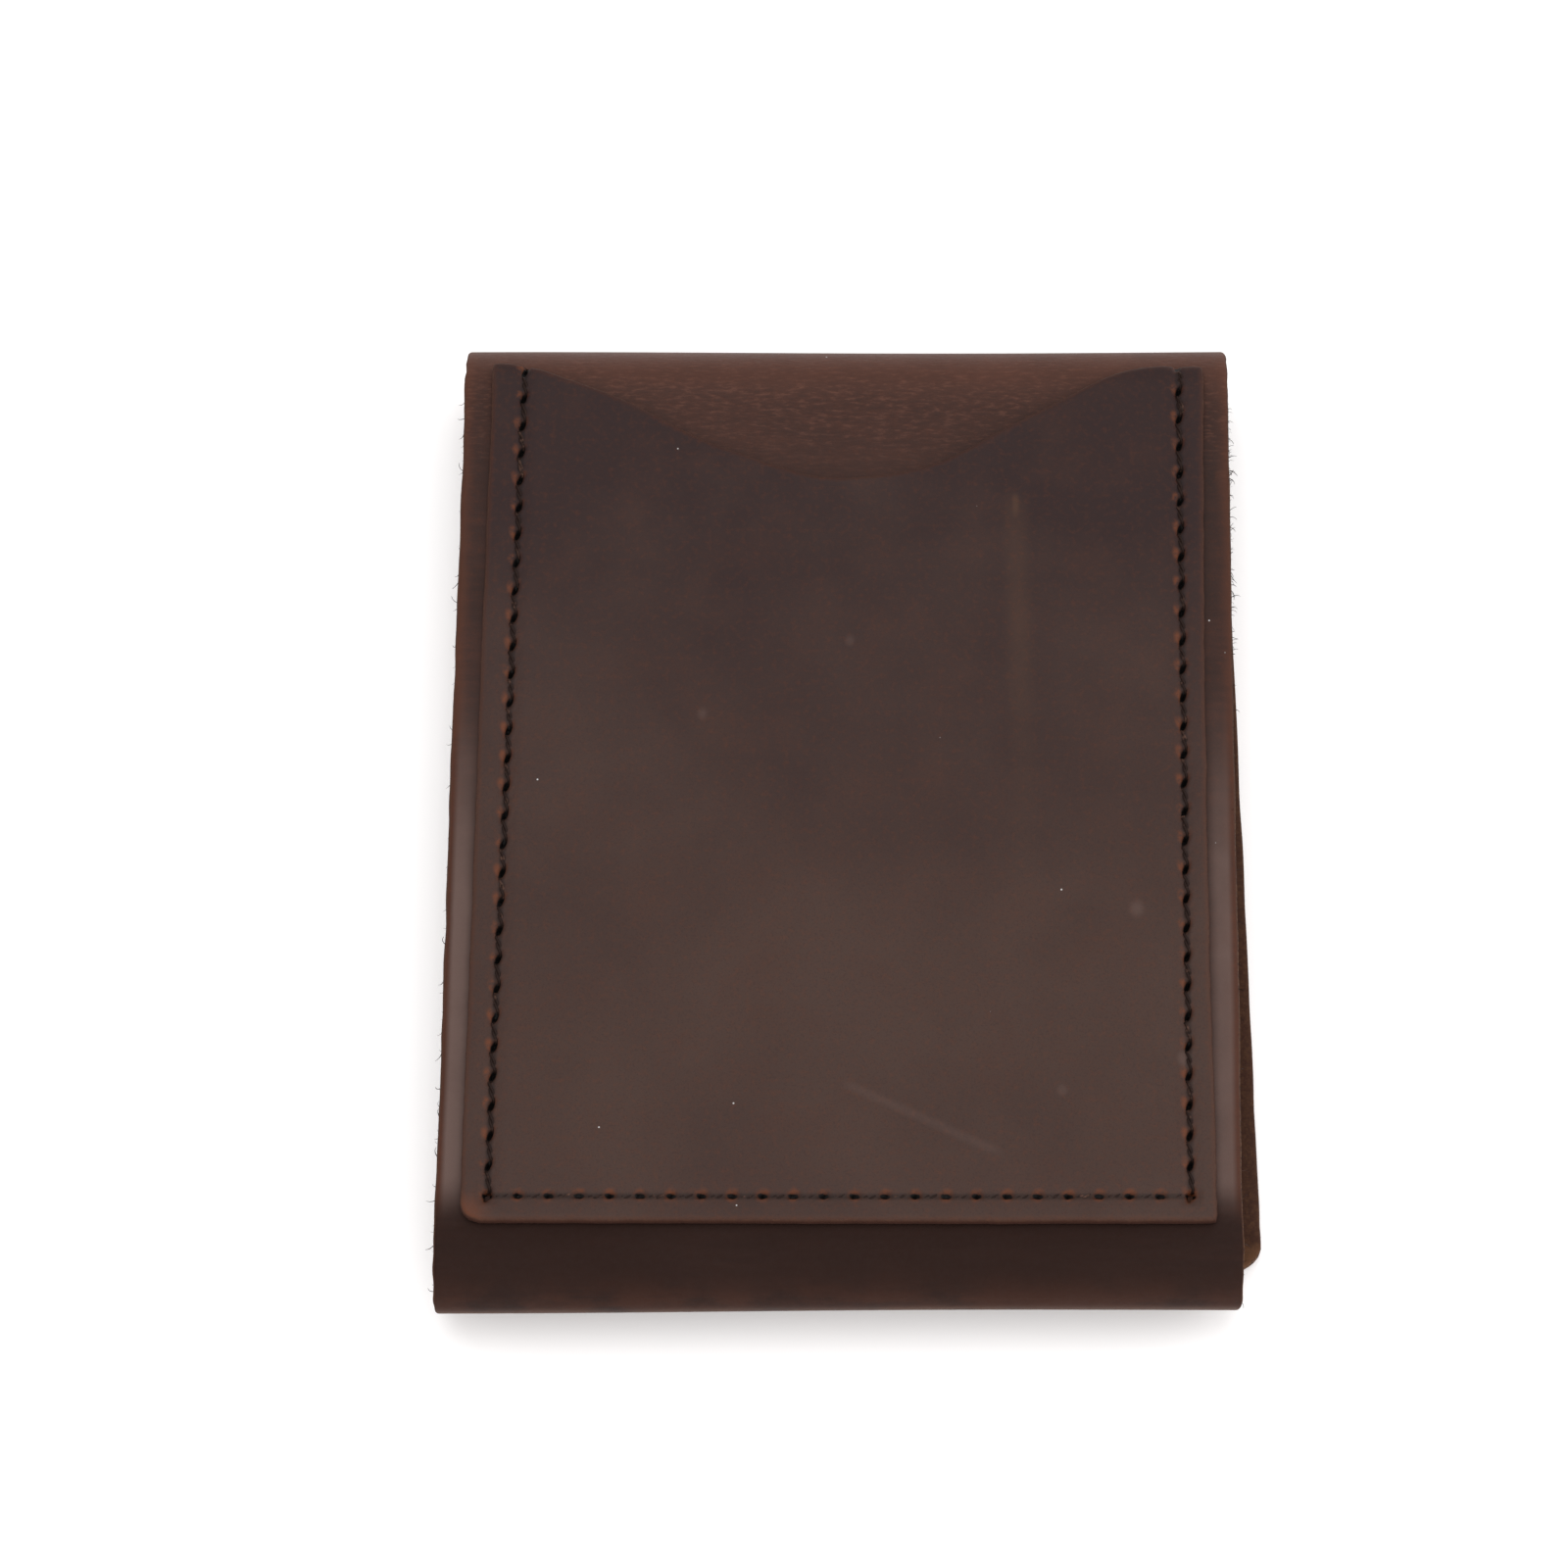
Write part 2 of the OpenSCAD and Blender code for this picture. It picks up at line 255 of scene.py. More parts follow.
def shell_place(u, v, h):
    """Points of the shell strip: u across, v along its grain side from the mouth edge, h above the grain."""
    k = layout()
    u, v, h = (np.asarray(a, float) for a in (u, v, h))
    edge = np.clip(1 - (k.half - np.abs(u)) / MARGIN, 0, 1)
    droop = sizes().edge_droop / MM * edge ** 2
    drooping = ease(v, k.fold_end - 3, k.fold_end + 12) * (1 - ease(v, k.crease_start - 55, k.crease_start))
    h = h - droop * drooping + swell(u, v)
    fold = np.clip((v - k.front) / k.bottom_r, 0, math.pi)
    y = k.bottom_y - k.bottom_r * np.sin(fold)
    z = k.bottom_z - k.bottom_r * np.cos(fold)
    y = y + np.where(v < k.front, k.front - v, 0)
    normal_y, normal_z = -np.sin(fold), -np.cos(fold)
    lower = np.stack([u, y + normal_y * h, z + normal_z * h], -1)
    near_fold = ease(v, k.front - 14, k.front) * (1 - ease(v, k.fold_end, k.fold_end + 14))
    skew = u * math.tan(sizes().bottom_skew) * near_fold
    lower[..., 1] += skew
    c, s = math.cos(k.skew), math.sin(k.skew)
    w = v - k.crease_start
    across, along = u * c + w * s, -u * s + w * c
    turn = np.clip(along / k.crease_r, 0, math.pi)
    past = np.clip(along - math.pi * k.crease_r, 0, None)
    y = np.where(along <= 0, along, k.crease_r * np.sin(turn) - past)
    ny, nz = np.sin(turn), np.cos(turn)
    y = y + ny * h
    z = k.crease_r + nz * (k.crease_r + h)
    upper = np.stack([across * c - y * s, k.crease_y + across * s + y * c, z], -1)
    upper[..., 1] += skew
    return np.where((v > k.fold_end)[..., None], upper, lower)


def crease_line(u):
    """Where the crease's middle line crosses the strip."""
    k = layout()
    return (math.pi / 2 * k.crease_r + u * math.sin(k.skew)) / math.cos(k.skew) + k.crease_start


def pocket_place(u, v, h):
    """Points of the outer pocket: u across, v up the case, h above the pocket's grain side."""
    k = layout()
    u, v, h = (np.asarray(a, float) for a in (u, v, h))
    y = v + 0.1 + 0.42 * u / k.pocket_half
    reach = np.clip(y - k.crease_y, 0, 4)
    drop = k.crease_r - np.sqrt(k.crease_r ** 2 - reach ** 2)
    soft = swell(u, y - k.bottom_y + k.fold_end)
    return np.stack([u, y, k.pocket_top + h - drop + soft], -1)


def seam_u(v, side):
    k = layout()
    if side > 0:
        return np.full_like(np.asarray(v, float), k.seam_x)
    rise = (np.asarray(v, float) - k.seam_y[0]) / (k.seam_y[1] - k.seam_y[0])
    return -k.seam_x + sizes().seam_lean / MM * rise


def pocket_holes():
    """Rows of stitch holes of the pocket: (row name, points u v, slant)."""
    k = layout()
    pitch = sizes().stitch_pitch / MM
    low, high = k.seam_y
    rows = []
    for name, side in (("left", -1), ("right", 1)):
        count = int(round((high - low) / pitch))
        top = high + (0.9 if side > 0 else 0.0)
        v = np.linspace(low, top, count + 1)
        rows.append((name, np.stack([seam_u(v, side), v], -1), 1))
    count = int(round(2 * k.seam_x / pitch))
    u = np.linspace(-k.seam_x, k.seam_x, count + 1)
    rows.append(("bottom", np.stack([u, np.full_like(u, low)], -1), 0))
    return rows


def scoop(u):
    """How far the pocket's mouth is cut down."""
    s = sizes()
    from_low = u - s.scoop_shift / MM
    reach = np.where(from_low < 0, s.scoop_left / MM, s.scoop_right / MM)
    share = np.clip(np.abs(from_low) / reach, 0, 1)
    return s.scoop_depth / MM * ((1 + np.cos(math.pi * share)) / 2) ** 0.85


# ---- mesh building


def spaced(stops, steps):
    """Numbers through the stops, each stretch divided by its own step."""
    out = [stops[0]]
    for a, b, step in zip(stops, stops[1:], steps):
        count = max(1, int(round((b - a) / step)))
        out.extend(a + (b - a) * (i + 1) / count for i in range(count))
    return np.array(out)


def attribute(mesh, name, values):
    kind = "FLOAT_VECTOR" if values.ndim == 2 else "FLOAT"
    layer = mesh.attributes.new(name, kind, "POINT")
    layer.data.foreach_set("vector" if values.ndim == 2 else "value", values.astype(np.float32).ravel())


def smooth_noise(count, seed, passes=2):
    values = np.random.default_rng(seed).normal(0, 1, count)
    for _ in range(passes):
        values = (np.roll(values, 1) + values + np.roll(values, -1)) / 3
    return values / values.std()


def edge_gap(places, outline):
    """Distance of flat places to a closed outline, never more than 6."""
    dense = []
    for a, b in zip(outline, np.roll(outline, -1, 0)):
        count = max(1, int(np.linalg.norm(b - a) / 0.12))
        dense.extend(a + (b - a) * i / count for i in range(count))
    tree = KDTree(len(dense))
    for i, place in enumerate(dense):
        tree.insert((place[0], place[1], 0), i)
    tree.balance()
    low, high = outline.min(0), outline.max(0)
    gap = np.full(len(places), 6.0)
    simple = np.minimum(places - low, high - places).min(1)
    for i in np.nonzero(simple < 20)[0]:
        gap[i] = min(6.0, tree.find((places[i][0], places[i][1], 0))[2])
    return gap


def slab(name, u, v, top, bottom, place, rim, rough=0.03, butt=None, seed=1, open_back=False, bend=None):
    """A closed leather piece over a grid of flat places, with a rounded cut edge all round.

    butt names an end row that meets another piece and stays square. open_back closes the flesh side with
    one face.
    """
    rows, cols = u.shape
    index = np.arange(rows * cols).reshape(rows, cols)
    loop = np.concatenate([index[0, :-1], index[:-1, -1], index[-1, :0:-1], index[:0:-1, 0]])
    flat = np.stack([u.ravel(), v.ravel()], -1)
    top = np.broadcast_to(top, u.shape).ravel().copy()
    bottom = np.broadcast_to(bottom, u.shape).ravel().copy()
    around = flat[loop]
    tangent = np.roll(around, -1, 0) - np.roll(around, 1, 0)
    outward = np.stack([tangent[:, 1], -tangent[:, 0]], -1)
    outward /= np.linalg.norm(outward, axis=1)[:, None]
    radius = np.full(len(loop), float(rim))
    if butt == "last":
        radius[(loop >= (rows - 1) * cols)] = 0
    if butt == "first":
        radius[loop < cols] = 0
    wobble = smooth_noise(len(loop), seed) * rough * (radius > 0)
    away = rim + edge_gap(flat, around)
    under = flat.copy()
    under[loop] += outward * (radius * 0.4)[:, None]
    layers = [(np.column_stack([flat, top]), 1.0, 0.0, away)]
    rings = [loop]
    start = len(flat)
    for degrees, share, upper, grain, cut in EDGE_STEPS:
        angle = math.radians(degrees)
        r = radius * share
        out = radius - r * (1 - math.sin(angle))
        fall = r * (1 - math.cos(angle))
        level = top[loop] - fall if upper else bottom[loop] + fall
        ragged = wobble * math.sin(angle) * (1 if upper else 0.8)
        ring = around + outward * (out + ragged)[:, None]
        layers.append((np.column_stack([ring, level]), grain, cut * np.where(radius > 0, 1, 0.2), 0.0))
        rings.append(np.arange(start, start + len(loop)))
        start += len(loop)
    a, b, c, d = index[:-1, :-1], index[:-1, 1:], index[1:, 1:], index[1:, :-1]
    faces = np.stack([a, b, c, d], -1).reshape(-1, 4).tolist()
    if open_back:
        layers.append((np.column_stack([under[loop], bottom[loop]]), 0.0, 0.0, 0.0))
        rings.append(np.arange(start, start + len(loop)))
        faces.append(rings[-1][::-1].tolist())
    else:
        layers.append((np.column_stack([under, bottom]), 0.0, 0.0, away))
        rings.append(loop + start)
        faces.extend((np.stack([a, d, c, b], -1) + start).reshape(-1, 4).tolist())
    for upper, lower in zip(rings, rings[1:]):
        faces.extend(np.stack([upper, lower, np.roll(lower, -1), np.roll(upper, -1)], -1).tolist())
    where = np.concatenate([layer[0] for layer in layers])
    grain, cut, distance = (np.concatenate([np.broadcast_to(layer[i], len(layer[0])) for layer in layers])
                            for i in (1, 2, 3))
    points = place(where[:, 0], where[:, 1], where[:, 2]) * MM
    mesh = bpy.data.meshes.new(name)
    mesh.from_pydata(points.tolist(), [], faces)
    attribute(mesh, "flat", where)
    attribute(mesh, "grain_side", grain)
    attribute(mesh, "cut_edge", cut)
    attribute(mesh, "edge_distance", distance)
    attribute(mesh, "bend", bend(where[:, 0], where[:, 1]) if bend else np.zeros(len(where)))
    finish_mesh(mesh, where[:, :2] / UV_SCALE)
    return add_object(name, mesh)


def finish_mesh(mesh, uv=None):
    mesh.shade_smooth()
    mesh.set_sharp_from_angle(angle=math.radians(62))
    if uv is not None:
        corner = np.empty(len(mesh.loops), np.int32)
        mesh.loops.foreach_get("vertex_index", corner)
        mesh.uv_layers.new(name="Flat").data.foreach_set("uv", uv[corner].astype(np.float32).ravel())
    mesh.validate()
    mesh.update()


def add_object(name, mesh):
    piece = bpy.data.objects.new(name, mesh)
    bpy.context.scene.collection.objects.link(piece)
    return piece


def tube(path, radius, sides, turn=0.0):
    """Vertices and faces of a closed tube along a path whose general direction is Y."""
    path = np.asarray(path, float)
    rings = []
    for place in path:
        a = turn + np.arange(sides) * 2 * math.pi / sides
        rings.append(place + np.stack([np.cos(a) * radius, np.zeros(sides), np.sin(a) * radius], -1))
    points = np.concatenate(rings)
    faces = []
    for i in range(len(path) - 1):
        for j in range(sides):
            k = (j + 1) % sides
            faces.append([i * sides + j, (i + 1) * sides + j, (i + 1) * sides + k, i * sides + k])
    faces.append(list(range(sides)))
    faces.append([(len(path) - 1) * sides + j for j in range(sides)][::-1])
    return points, faces


# ---- node building


class Wire:
    """One output socket that ordinary arithmetic can be written with."""

    def __init__(self, graph, socket):
        self.graph, self.socket = graph, socket

    def _maths(self, operation, *terms):
        return self.graph.maths(operation, *terms)

    def __add__(self, other):
        return self._maths("ADD", self, other)

    def __radd__(self, other):
        return self._maths("ADD", other, self)

    def __sub__(self, other):
        return self._maths("SUBTRACT", self, other)

    def __rsub__(self, other):
        return self._maths("SUBTRACT", other, self)

    def __mul__(self, other):
        return self._maths("MULTIPLY", self, other)

    def __rmul__(self, other):
        return self._maths("MULTIPLY", other, self)

    def __truediv__(self, other):
        return self._maths("DIVIDE", self, other)

    def __rtruediv__(self, other):
        return self._maths("DIVIDE", other, self)

    def __pow__(self, other):
        return self._maths("POWER", self, other)

    def __neg__(self):
        return self._maths("MULTIPLY", self, -1.0)

    def __abs__(self):
        return self._maths("ABSOLUTE", self)


class Graph:
    """Adds nodes to a tree and links them."""

    def __init__(self, tree):
        self.tree = tree

    def pick(self, sockets, key):
        if isinstance(key, int):
            return sockets[key]
        for socket in sockets:
            if key in (socket.identifier, socket.name) and socket.enabled:
                return socket
        raise KeyError(f"no socket {key}")

    def node(self, kind, settings=None, inputs=None, output=0):
        made = self.tree.nodes.new(kind)
        for key, value in (settings or {}).items():
            setattr(made, key, value)
        for key, value in (inputs or {}).items():
            socket = self.pick(made.inputs, key)
            if isinstance(value, Wire):
                self.tree.links.new(value.socket, socket)
            else:
                socket.default_value = value
        if output == "all":
            return [Wire(self, socket) for socket in made.outputs]
        return Wire(self, self.pick(made.outputs, output)) if len(made.outputs) else made

    def given(self, keys):
        """Wires from the tree's own inputs, by plain name."""
        found = {wire.socket.identifier: wire for wire in self.node("NodeGroupInput", output="all")}
        return {name: found[key] for name, key in keys.items()}

    def maths(self, operation, *terms):
        return self.node("ShaderNodeMath", {"operation": operation}, dict(enumerate(terms)))

    def vector(self, operation, a, b):
        return self.node("ShaderNodeVectorMath", {"operation": operation}, {0: a, 1: b})


class Finish(Graph):
    """A material made of nodes, with one Principled shader."""

    def __init__(self, name):
        self.material = bpy.data.materials.new(name)
        self.material.use_nodes = True
        super().__init__(self.material.node_tree)
        self.tree.nodes.clear()

    def value(self, name):
        return self.node("ShaderNodeAttribute", {"attribute_name": name}, output="Fac")

    def place(self, name):
        return self.node("ShaderNodeAttribute", {"attribute_name": name}, output="Vector")

    def split(self, wire):
        return self.node("ShaderNodeSeparateXYZ", None, {0: wire}, output="all")

    def noise(self, where, scale, detail=2.0, roughness=0.5, shift=(0, 0, 0), stretch=(1, 1, 1)):
        moved = self.vector("ADD", self.vector("MULTIPLY", where, stretch), shift)
        return self.node("ShaderNodeTexNoise", None,
                         {"Vector": moved, "Scale": scale, "Detail": detail, "Roughness": roughness})

    def cells(self, where, scale):
        return self.node("ShaderNodeTexVoronoi", None, {"Vector": where, "Scale": scale}, "Distance")

    def step(self, wire, low, high, start=0.0, end=1.0):
        return self.node("ShaderNodeMapRange", {"interpolation_type": "SMOOTHSTEP"},
                         {0: wire, 1: low, 2: high, 3: start, 4: end})

    def blend(self, factor, a, b):
        return self.node("ShaderNodeMix", {"data_type": "RGBA", "clamp_factor": True},
                         {"Factor_Float": factor, "A_Color": a, "B_Color": b}, output="Result_Color")

    def bump(self, height, distance, strength=1.0):
        return self.node("ShaderNodeBump", None,
                         {"Strength": strength, "Distance": distance, "Height": height})

    def surface(self, inputs):
        shader = self.node("ShaderNodeBsdfPrincipled", None, inputs)
        self.node("ShaderNodeOutputMaterial", None, {"Surface": shader})
        return self.material


def seam_marks(f, m, centre_u, centre_v, length_axis, pitch, count, slant):
    """Whether a place belongs to a row of holes, and where it lies from the nearest hole."""
    if length_axis == "v":
        along, across = m.v - centre_v, m.u - centre_u
    else:
        along, across = m.u - centre_u, m.v - centre_v
    order = f.maths("FLOOR", along / pitch + 0.5)
    inside = f.maths("GREATER_THAN", order, -0.5) * f.maths("LESS_THAN", order, count + 0.5)
    local = along - order * pitch
    c, s = math.cos(slant), math.sin(slant)
    long_way = local * c + across * s
    short_way = across * c - local * s
    return inside, long_way, short_way, across


HOLE = {"v": (0.28, 0.70), "u": (0.27, 0.52)}
HOLE_SLANT = {"v": math.radians(22), "u": math.radians(-8)}


def leather_masks(f):
    """Places, edge masks and noises that every leather shares."""
    flat = f.place("flat")
    u, v, _ = f.split(flat)
    return SimpleNamespace(
        flat=flat, u=u, v=v, grain_side=f.value("grain_side"), cut=f.value("cut_edge"),
        away=f.value("edge_distance"), bend=f.value("bend"),
        cloud=f.noise(flat, 0.034, 3.0, 0.55, (3.1, 7.7, 0)),
        mottle=f.noise(flat, 0.17, 4.0, 0.6, (11, 2, 5)),
        fine=f.noise(flat, 1.5, 3.0, 0.65), pore=f.noise(flat, 5.2, 2.0, 0.6, (2, 2, 2)),
        wrinkle=f.cells(flat, 1.9))


def pocket_marks(f, m, base):
    """A long rub mark, a short scratch, a few pale spots, and wax pulled up at the edge and one corner."""
    c = colours()
    rub_u = m.u - 17.6 + (m.v - 10) * 0.02
    rub = f.step(abs(rub_u), 1.9, 0.1) * f.step(m.v, -12.0, 20.0) * f.step(m.v, 33.5, 30.5) * 0.55
    rub = rub + f.step(abs(rub_u), 0.5, 0.1) * f.step(m.v, 29.5, 31.0) * f.step(m.v, 32.8, 32.0) * 0.9
    (start_u, start_v), (ahead, aside) = SCRATCH_START, SCRATCH_WAY
    line = (m.v - start_v) * ahead + (m.u - start_u) * aside
    run = (m.u - start_u) * ahead - (m.v - start_v) * aside
    scratch = f.step(abs(line), 0.75, 0.05) * f.step(run, -0.6, 1.0) * f.step(run, 17.4, 15.5)
    base = f.blend(rub * (0.10 + m.mottle * 0.2), base, c.tan)
    base = f.blend(scratch * (0.06 + m.fine * 0.2), base, c.bloom)
    for spot_u, spot_v, size, strength in SPOTS:
        gap = ((m.u - spot_u) ** 2.0 + ((m.v - spot_v) * 0.8) ** 2.0) ** 0.5 + (m.mottle - 0.5) * 0.8
        base = f.blend(f.step(gap, size, size * 0.2) * strength, base, c.bloom)
    edge_rub = f.step(m.away + (m.mottle - 0.5) * 1.0, 0.75, 0.1)
    base = f.blend(edge_rub * 0.13, base, c.rust)
    corner = f.step((((m.u + 36) ** 2.0 + (m.v + 44.4) ** 2.0) ** 0.5) + (m.mottle - 0.5) * 2.0, 3.2, 0.6)
    base = f.blend(corner * 0.55, base, c.rust)
    return base


def shell_marks(f, m, base, height, rough):
    """Streaks, painted sheen on the side margins, painted shade on the bottom fold with pale streaks low on
    it that are partly a painted reflection of the floor, and the warm, stretched far fold with painted shade
    low in the scoop and a painted highlight on its crest.
    """
    c, k = colours(), layout()
    streak = f.noise(m.flat, 0.9, 4.0, 0.62, (5, 9, 1), (0.16, 1.0, 1.0))
    base = f.blend(f.step(streak, 0.36, 0.66) * 0.55, base, c.shell_dark)
    # Painted shade: the shell runs paler towards the crease, so it is darker low in the thumb scoop beside
    # the pocket's mouth.
    base = f.blend(f.step(m.v, k.crease_start - 14.0, k.crease_start) * 0.55 * (0.6 + streak * 0.8),
                   base, c.shell_brown)
    side = f.step(m.away + (m.mottle - 0.5) * 2.0, 1.6, 0.1)
    base = f.blend(side * 0.3, base, c.rust)
    # Painted sheen: the drooping side margins get a pale grey reflection painted on, low on the shell and
    # stronger on the left.
    waxed = f.step(m.v, k.crease_start - 30.0, k.fold_end + 34.0)
    waxed = waxed * f.step(m.v, k.fold_end + 0.5, k.fold_end + 7.0)
    sheen_margin = f.step(m.away, 0.3, 1.0) * f.step(m.away, 3.6, 1.7)
    sheen_side = f.step(m.u, 1.0, -1.0) * 0.3 + 0.95
    base = f.blend(waxed * sheen_margin * sheen_side * (0.45 + m.mottle * 0.7), base, c.bloom)
    # Painted shade: the upper half of the bottom fold, facing the near side and turned from the overhead
    # light, is painted dark.
    near = f.step(m.v, k.front + 6.5, k.front + 9.0) * f.step(m.v, k.fold_end + 7.0, k.fold_end + 1.5)
    base = f.blend(near * (0.8 + streak * 0.3), base, c.fold)
    rough = rough + near * 0.22
    low_part = f.step(m.v, k.front + 13.5, k.front + 8.0) * f.step(m.mottle + streak * 0.5, 0.5, 0.9) * m.bend
    base = f.blend(low_part * 0.8, base, c.low_fold)
    # Pale tan streaks low on the bottom fold: partly the leather's pull-up where it bends, partly a painted
    # reflection of the pale floor.
    under = f.step(m.v, k.front + 8.6, k.front + 6.6) * m.bend * m.grain_side
    base = f.blend(under * f.step(streak + m.mottle * 0.4, 0.45, 0.85) * 0.4, base, c.tan)
    line = f.noise(m.flat, 2.9, 4.0, 0.65, (6, 3, 2), (0.3, 1.0, 1.0))
    # The far fold's streaks fade out down into the scoop, which paints shade low in the scoop beside the
    # pocket's mouth; the streaks themselves are the leather's own texture.
    far = f.step(m.v, k.crease_start - 15.0, k.crease_start + 1.0)
    base = f.blend(far * f.step(line, 0.48, 0.75) * 0.7, base, c.far_fold)
    base = f.blend(far * f.step(line, 0.5, 0.3) * 0.5, base, c.shell_dark)
    # Painted highlight: the crease's crest, turned up to the overhead light, is painted a paler warm brown.
    crest_highlight = f.step(m.v, k.crease_start - 3.0, k.crease_start + 5.0)
    base = f.blend(crest_highlight * (0.35 + m.mottle * 0.5), base, c.far_fold)
    height = height + streak * 0.3 + m.bend * streak * 0.5 + far * line * 1.3
    return base, height, rough


def seam_colours(f, m, base, centre_u, centre_v, axis, pitch, count, slant, lean):
    """Holes painted near black as their shade, a darker line along the seam and the wax pulled up beside each
    hole, along one row.
    """
    c = colours()
    shifted = centre_u + (m.v - centre_v) * lean if lean else centre_u
    inside, long_way, short_way, across = seam_marks(f, m, shifted, centre_v, axis, pitch, count, slant)
    wide, tall = HOLE[axis]
    reach = (short_way * short_way / wide ** 2 + long_way * long_way / tall ** 2) ** 0.5
    reach = reach + (m.fine - 0.5) * 0.5
    if axis == "v":
        aside = (across + 0.42) / 0.42
        halo = f.step((aside * aside + long_way * long_way / 0.6 ** 2) ** 0.5, 1.5, 0.4)
        halo = f.maths("MAXIMUM", halo, f.step(reach, 2.0, 1.0) * 0.4)
    else:
        halo = f.step((across * across / 0.62 ** 2 + long_way * long_way / 0.6 ** 2) ** 0.5, 1.5, 0.5)
    patchy = f.step(m.mottle * 0.5 + m.fine * 0.5, 0.36, 0.58)
    base = f.blend(inside * halo * patchy * 0.75, base, c.rust)
    run = (m.v - centre_v) if axis == "v" else (m.u - centre_u)
    within = f.step(run, -0.3, 0.1) * f.step(run, pitch * count + 0.3, pitch * count - 0.1)
    # A darker line along the seam, at half strength in the hole colour.
    darker_seam_line = f.step(abs(across + (0.0 if axis == "v" else 0.1)), 0.48, 0.1)
    base = f.blend(within * darker_seam_line * 0.5, base, c.hole)
    # Painted shade: each hole is painted near black for the shade inside it.
    base = f.blend(inside * f.step(reach, 1.12, 0.8), base, c.hole)
    return base


def cut_edge_colour(f, m, fibre, pocket):
    """Bare tan fibres, worn over with wax."""
    c = colours()
    edge = f.blend(f.step(fibre, 0.42, 0.62), c.tan, c.shell_dark)
    if pocket:
        return f.blend(0.97, edge, c.shell_brown)
    fold_end = layout().fold_end
    bare = f.step(m.v, fold_end + 24.0, fold_end + 12.0) * f.step(m.u, 30.0, 36.0)
    return f.blend(f.step(m.mottle, 0.42, 0.6) * 0.8 * (1.0 - bare * 0.9), edge, c.shell_brown)


def flesh_colour(f, m, suede, pocket):
    """Suede, paler at the tip of the flap."""
    c = colours()
    back = f.blend(f.step(suede, 0.35, 0.8) * 0.5, c.suede, c.tan)
    if pocket:
        return back
    flap_end = layout().flap_end
    tip = f.step(m.v + (m.mottle - 0.5) * 2.0, flap_end - 3.4, flap_end - 2.4)
    return f.blend(tip * 0.6, back, c.tan)


def leather(name, dark, pale, seams=(), pocket=False):
    """Waxed pull-up leather: cloudy colour, fine grain, rubbed edges, tan cut edge and suede back."""
    c = colours()
    f = Finish(name)
    m = leather_masks(f)
    if pocket:
        # Painted sheen: the pocket runs paler from the mouth down to the foot, where more of the light's
        # reflection falls; the cloud and mottle on top are the leather's own tone.
        tone = f.step(m.v, 46.0, -30.0) * 0.85 + (m.cloud - 0.5) * 1.3 + (m.mottle - 0.5) * 0.5 + 0.06
    else:
        tone = f.step(m.cloud * 0.7 + m.mottle * 0.3, 0.36, 0.62)
    base = f.blend(tone, dark, pale)
    base = f.blend(f.step(m.mottle, 0.45, 0.75) * 0.25, base, c.shell_brown)
    base = f.blend(f.step(m.fine, 0.45, 0.8) * 0.2, base, c.rust)
    base = f.blend(f.step(m.pore, 0.5, 0.7) * 0.3, base, dark)
    height = m.fine * 0.3 + m.pore * 0.4 + f.step(m.wrinkle, 0.0, 0.5) * 0.22
    rough = 0.5 + m.fine * 0.18 - f.step(m.cloud, 0.4, 0.7) * 0.06
    if pocket:
        base = pocket_marks(f, m, base)
    else:
        base, height, rough = shell_marks(f, m, base, height, rough)
    for seam in seams:
        base = seam_colours(f, m, base, *seam)
    dust = f.step(f.cells(m.flat, 0.2), 0.022, 0.012)
    base = f.blend(dust * 0.5, base, c.floor)
    suede = f.noise(m.flat, 2.4, 5.0, 0.7, (4, 4, 4))
    fibre = f.noise(m.flat, 3.2, 4.0, 0.7, (8, 1, 3), (1, 1, 0.35))
    base = f.blend(1.0 - f.step(m.grain_side, 0.2, 0.8), base, flesh_colour(f, m, suede, pocket))
    base = f.blend(f.step(m.cut, 0.3, 0.9), base, cut_edge_colour(f, m, fibre, pocket))
    fuzzy = f.maths("MAXIMUM", m.cut, 1.0 - m.grain_side)
    height = height * (1.0 - fuzzy) + (suede * 0.6 + fibre) * fuzzy * 1.4
    return f.surface({"Base Color": base, "Roughness": rough + fuzzy * 0.35,
                      "Normal": f.bump(height, 0.00008, 0.5), "IOR": 1.47, "Specular IOR Level": 0.2})


def thread_finish(name):
    c = colours()
    f = Finish(name)
    place = f.node("ShaderNodeTexCoord", output="Object")
    fuzz = f.noise(place, 1800.0, 3.0, 0.6)
    worn = f.noise(place, 420.0, 2.0, 0.5)
    # Painted highlight: the pale thread colour on sparse spots stands in for light glinting on the waxed
    # strands.
    base = f.blend(f.step(fuzz * 0.5 + worn * 0.5, 0.52, 0.7), c.thread, c.thread_light)
    return f.surface({"Base Color": base, "Roughness": 0.5 + fuzz * 0.3,
                      "Normal": f.bump(fuzz, 0.00006, 0.6), "Specular IOR Level": 0.14})


def metal_finish(name):
    c = colours()
    f = Finish(name)
    place = f.node("ShaderNodeTexCoord", output="Object")
    haze = f.noise(place, 300.0, 4.0, 0.6)
    ring = f.noise(place, 2500.0, 2.0, 0.5)
    base = f.blend(f.step(haze, 0.35, 0.7) * 0.25, c.nickel, c.tan)
    return f.surface({"Base Color": base, "Metallic": 1.0, "Roughness": 0.24 + haze * 0.2,
                      "Normal": f.bump(ring, 0.00003, 0.3)})


def floor_finish(name):
    c = colours()
    f = Finish(name)
    place = f.node("ShaderNodeTexCoord", output="Object")
    tone = f.noise(place, 3.0, 2.0)
    base = f.blend(tone * 0.1, c.floor, (0.93, 0.93, 0.935, 1))
    return f.surface({"Base Color": base, "Roughness": 0.8, "Specular IOR Level": 0.2,
                      "Emission Color": (1, 1, 1, 1), "Emission Strength": 0.17})


_finishes = {}


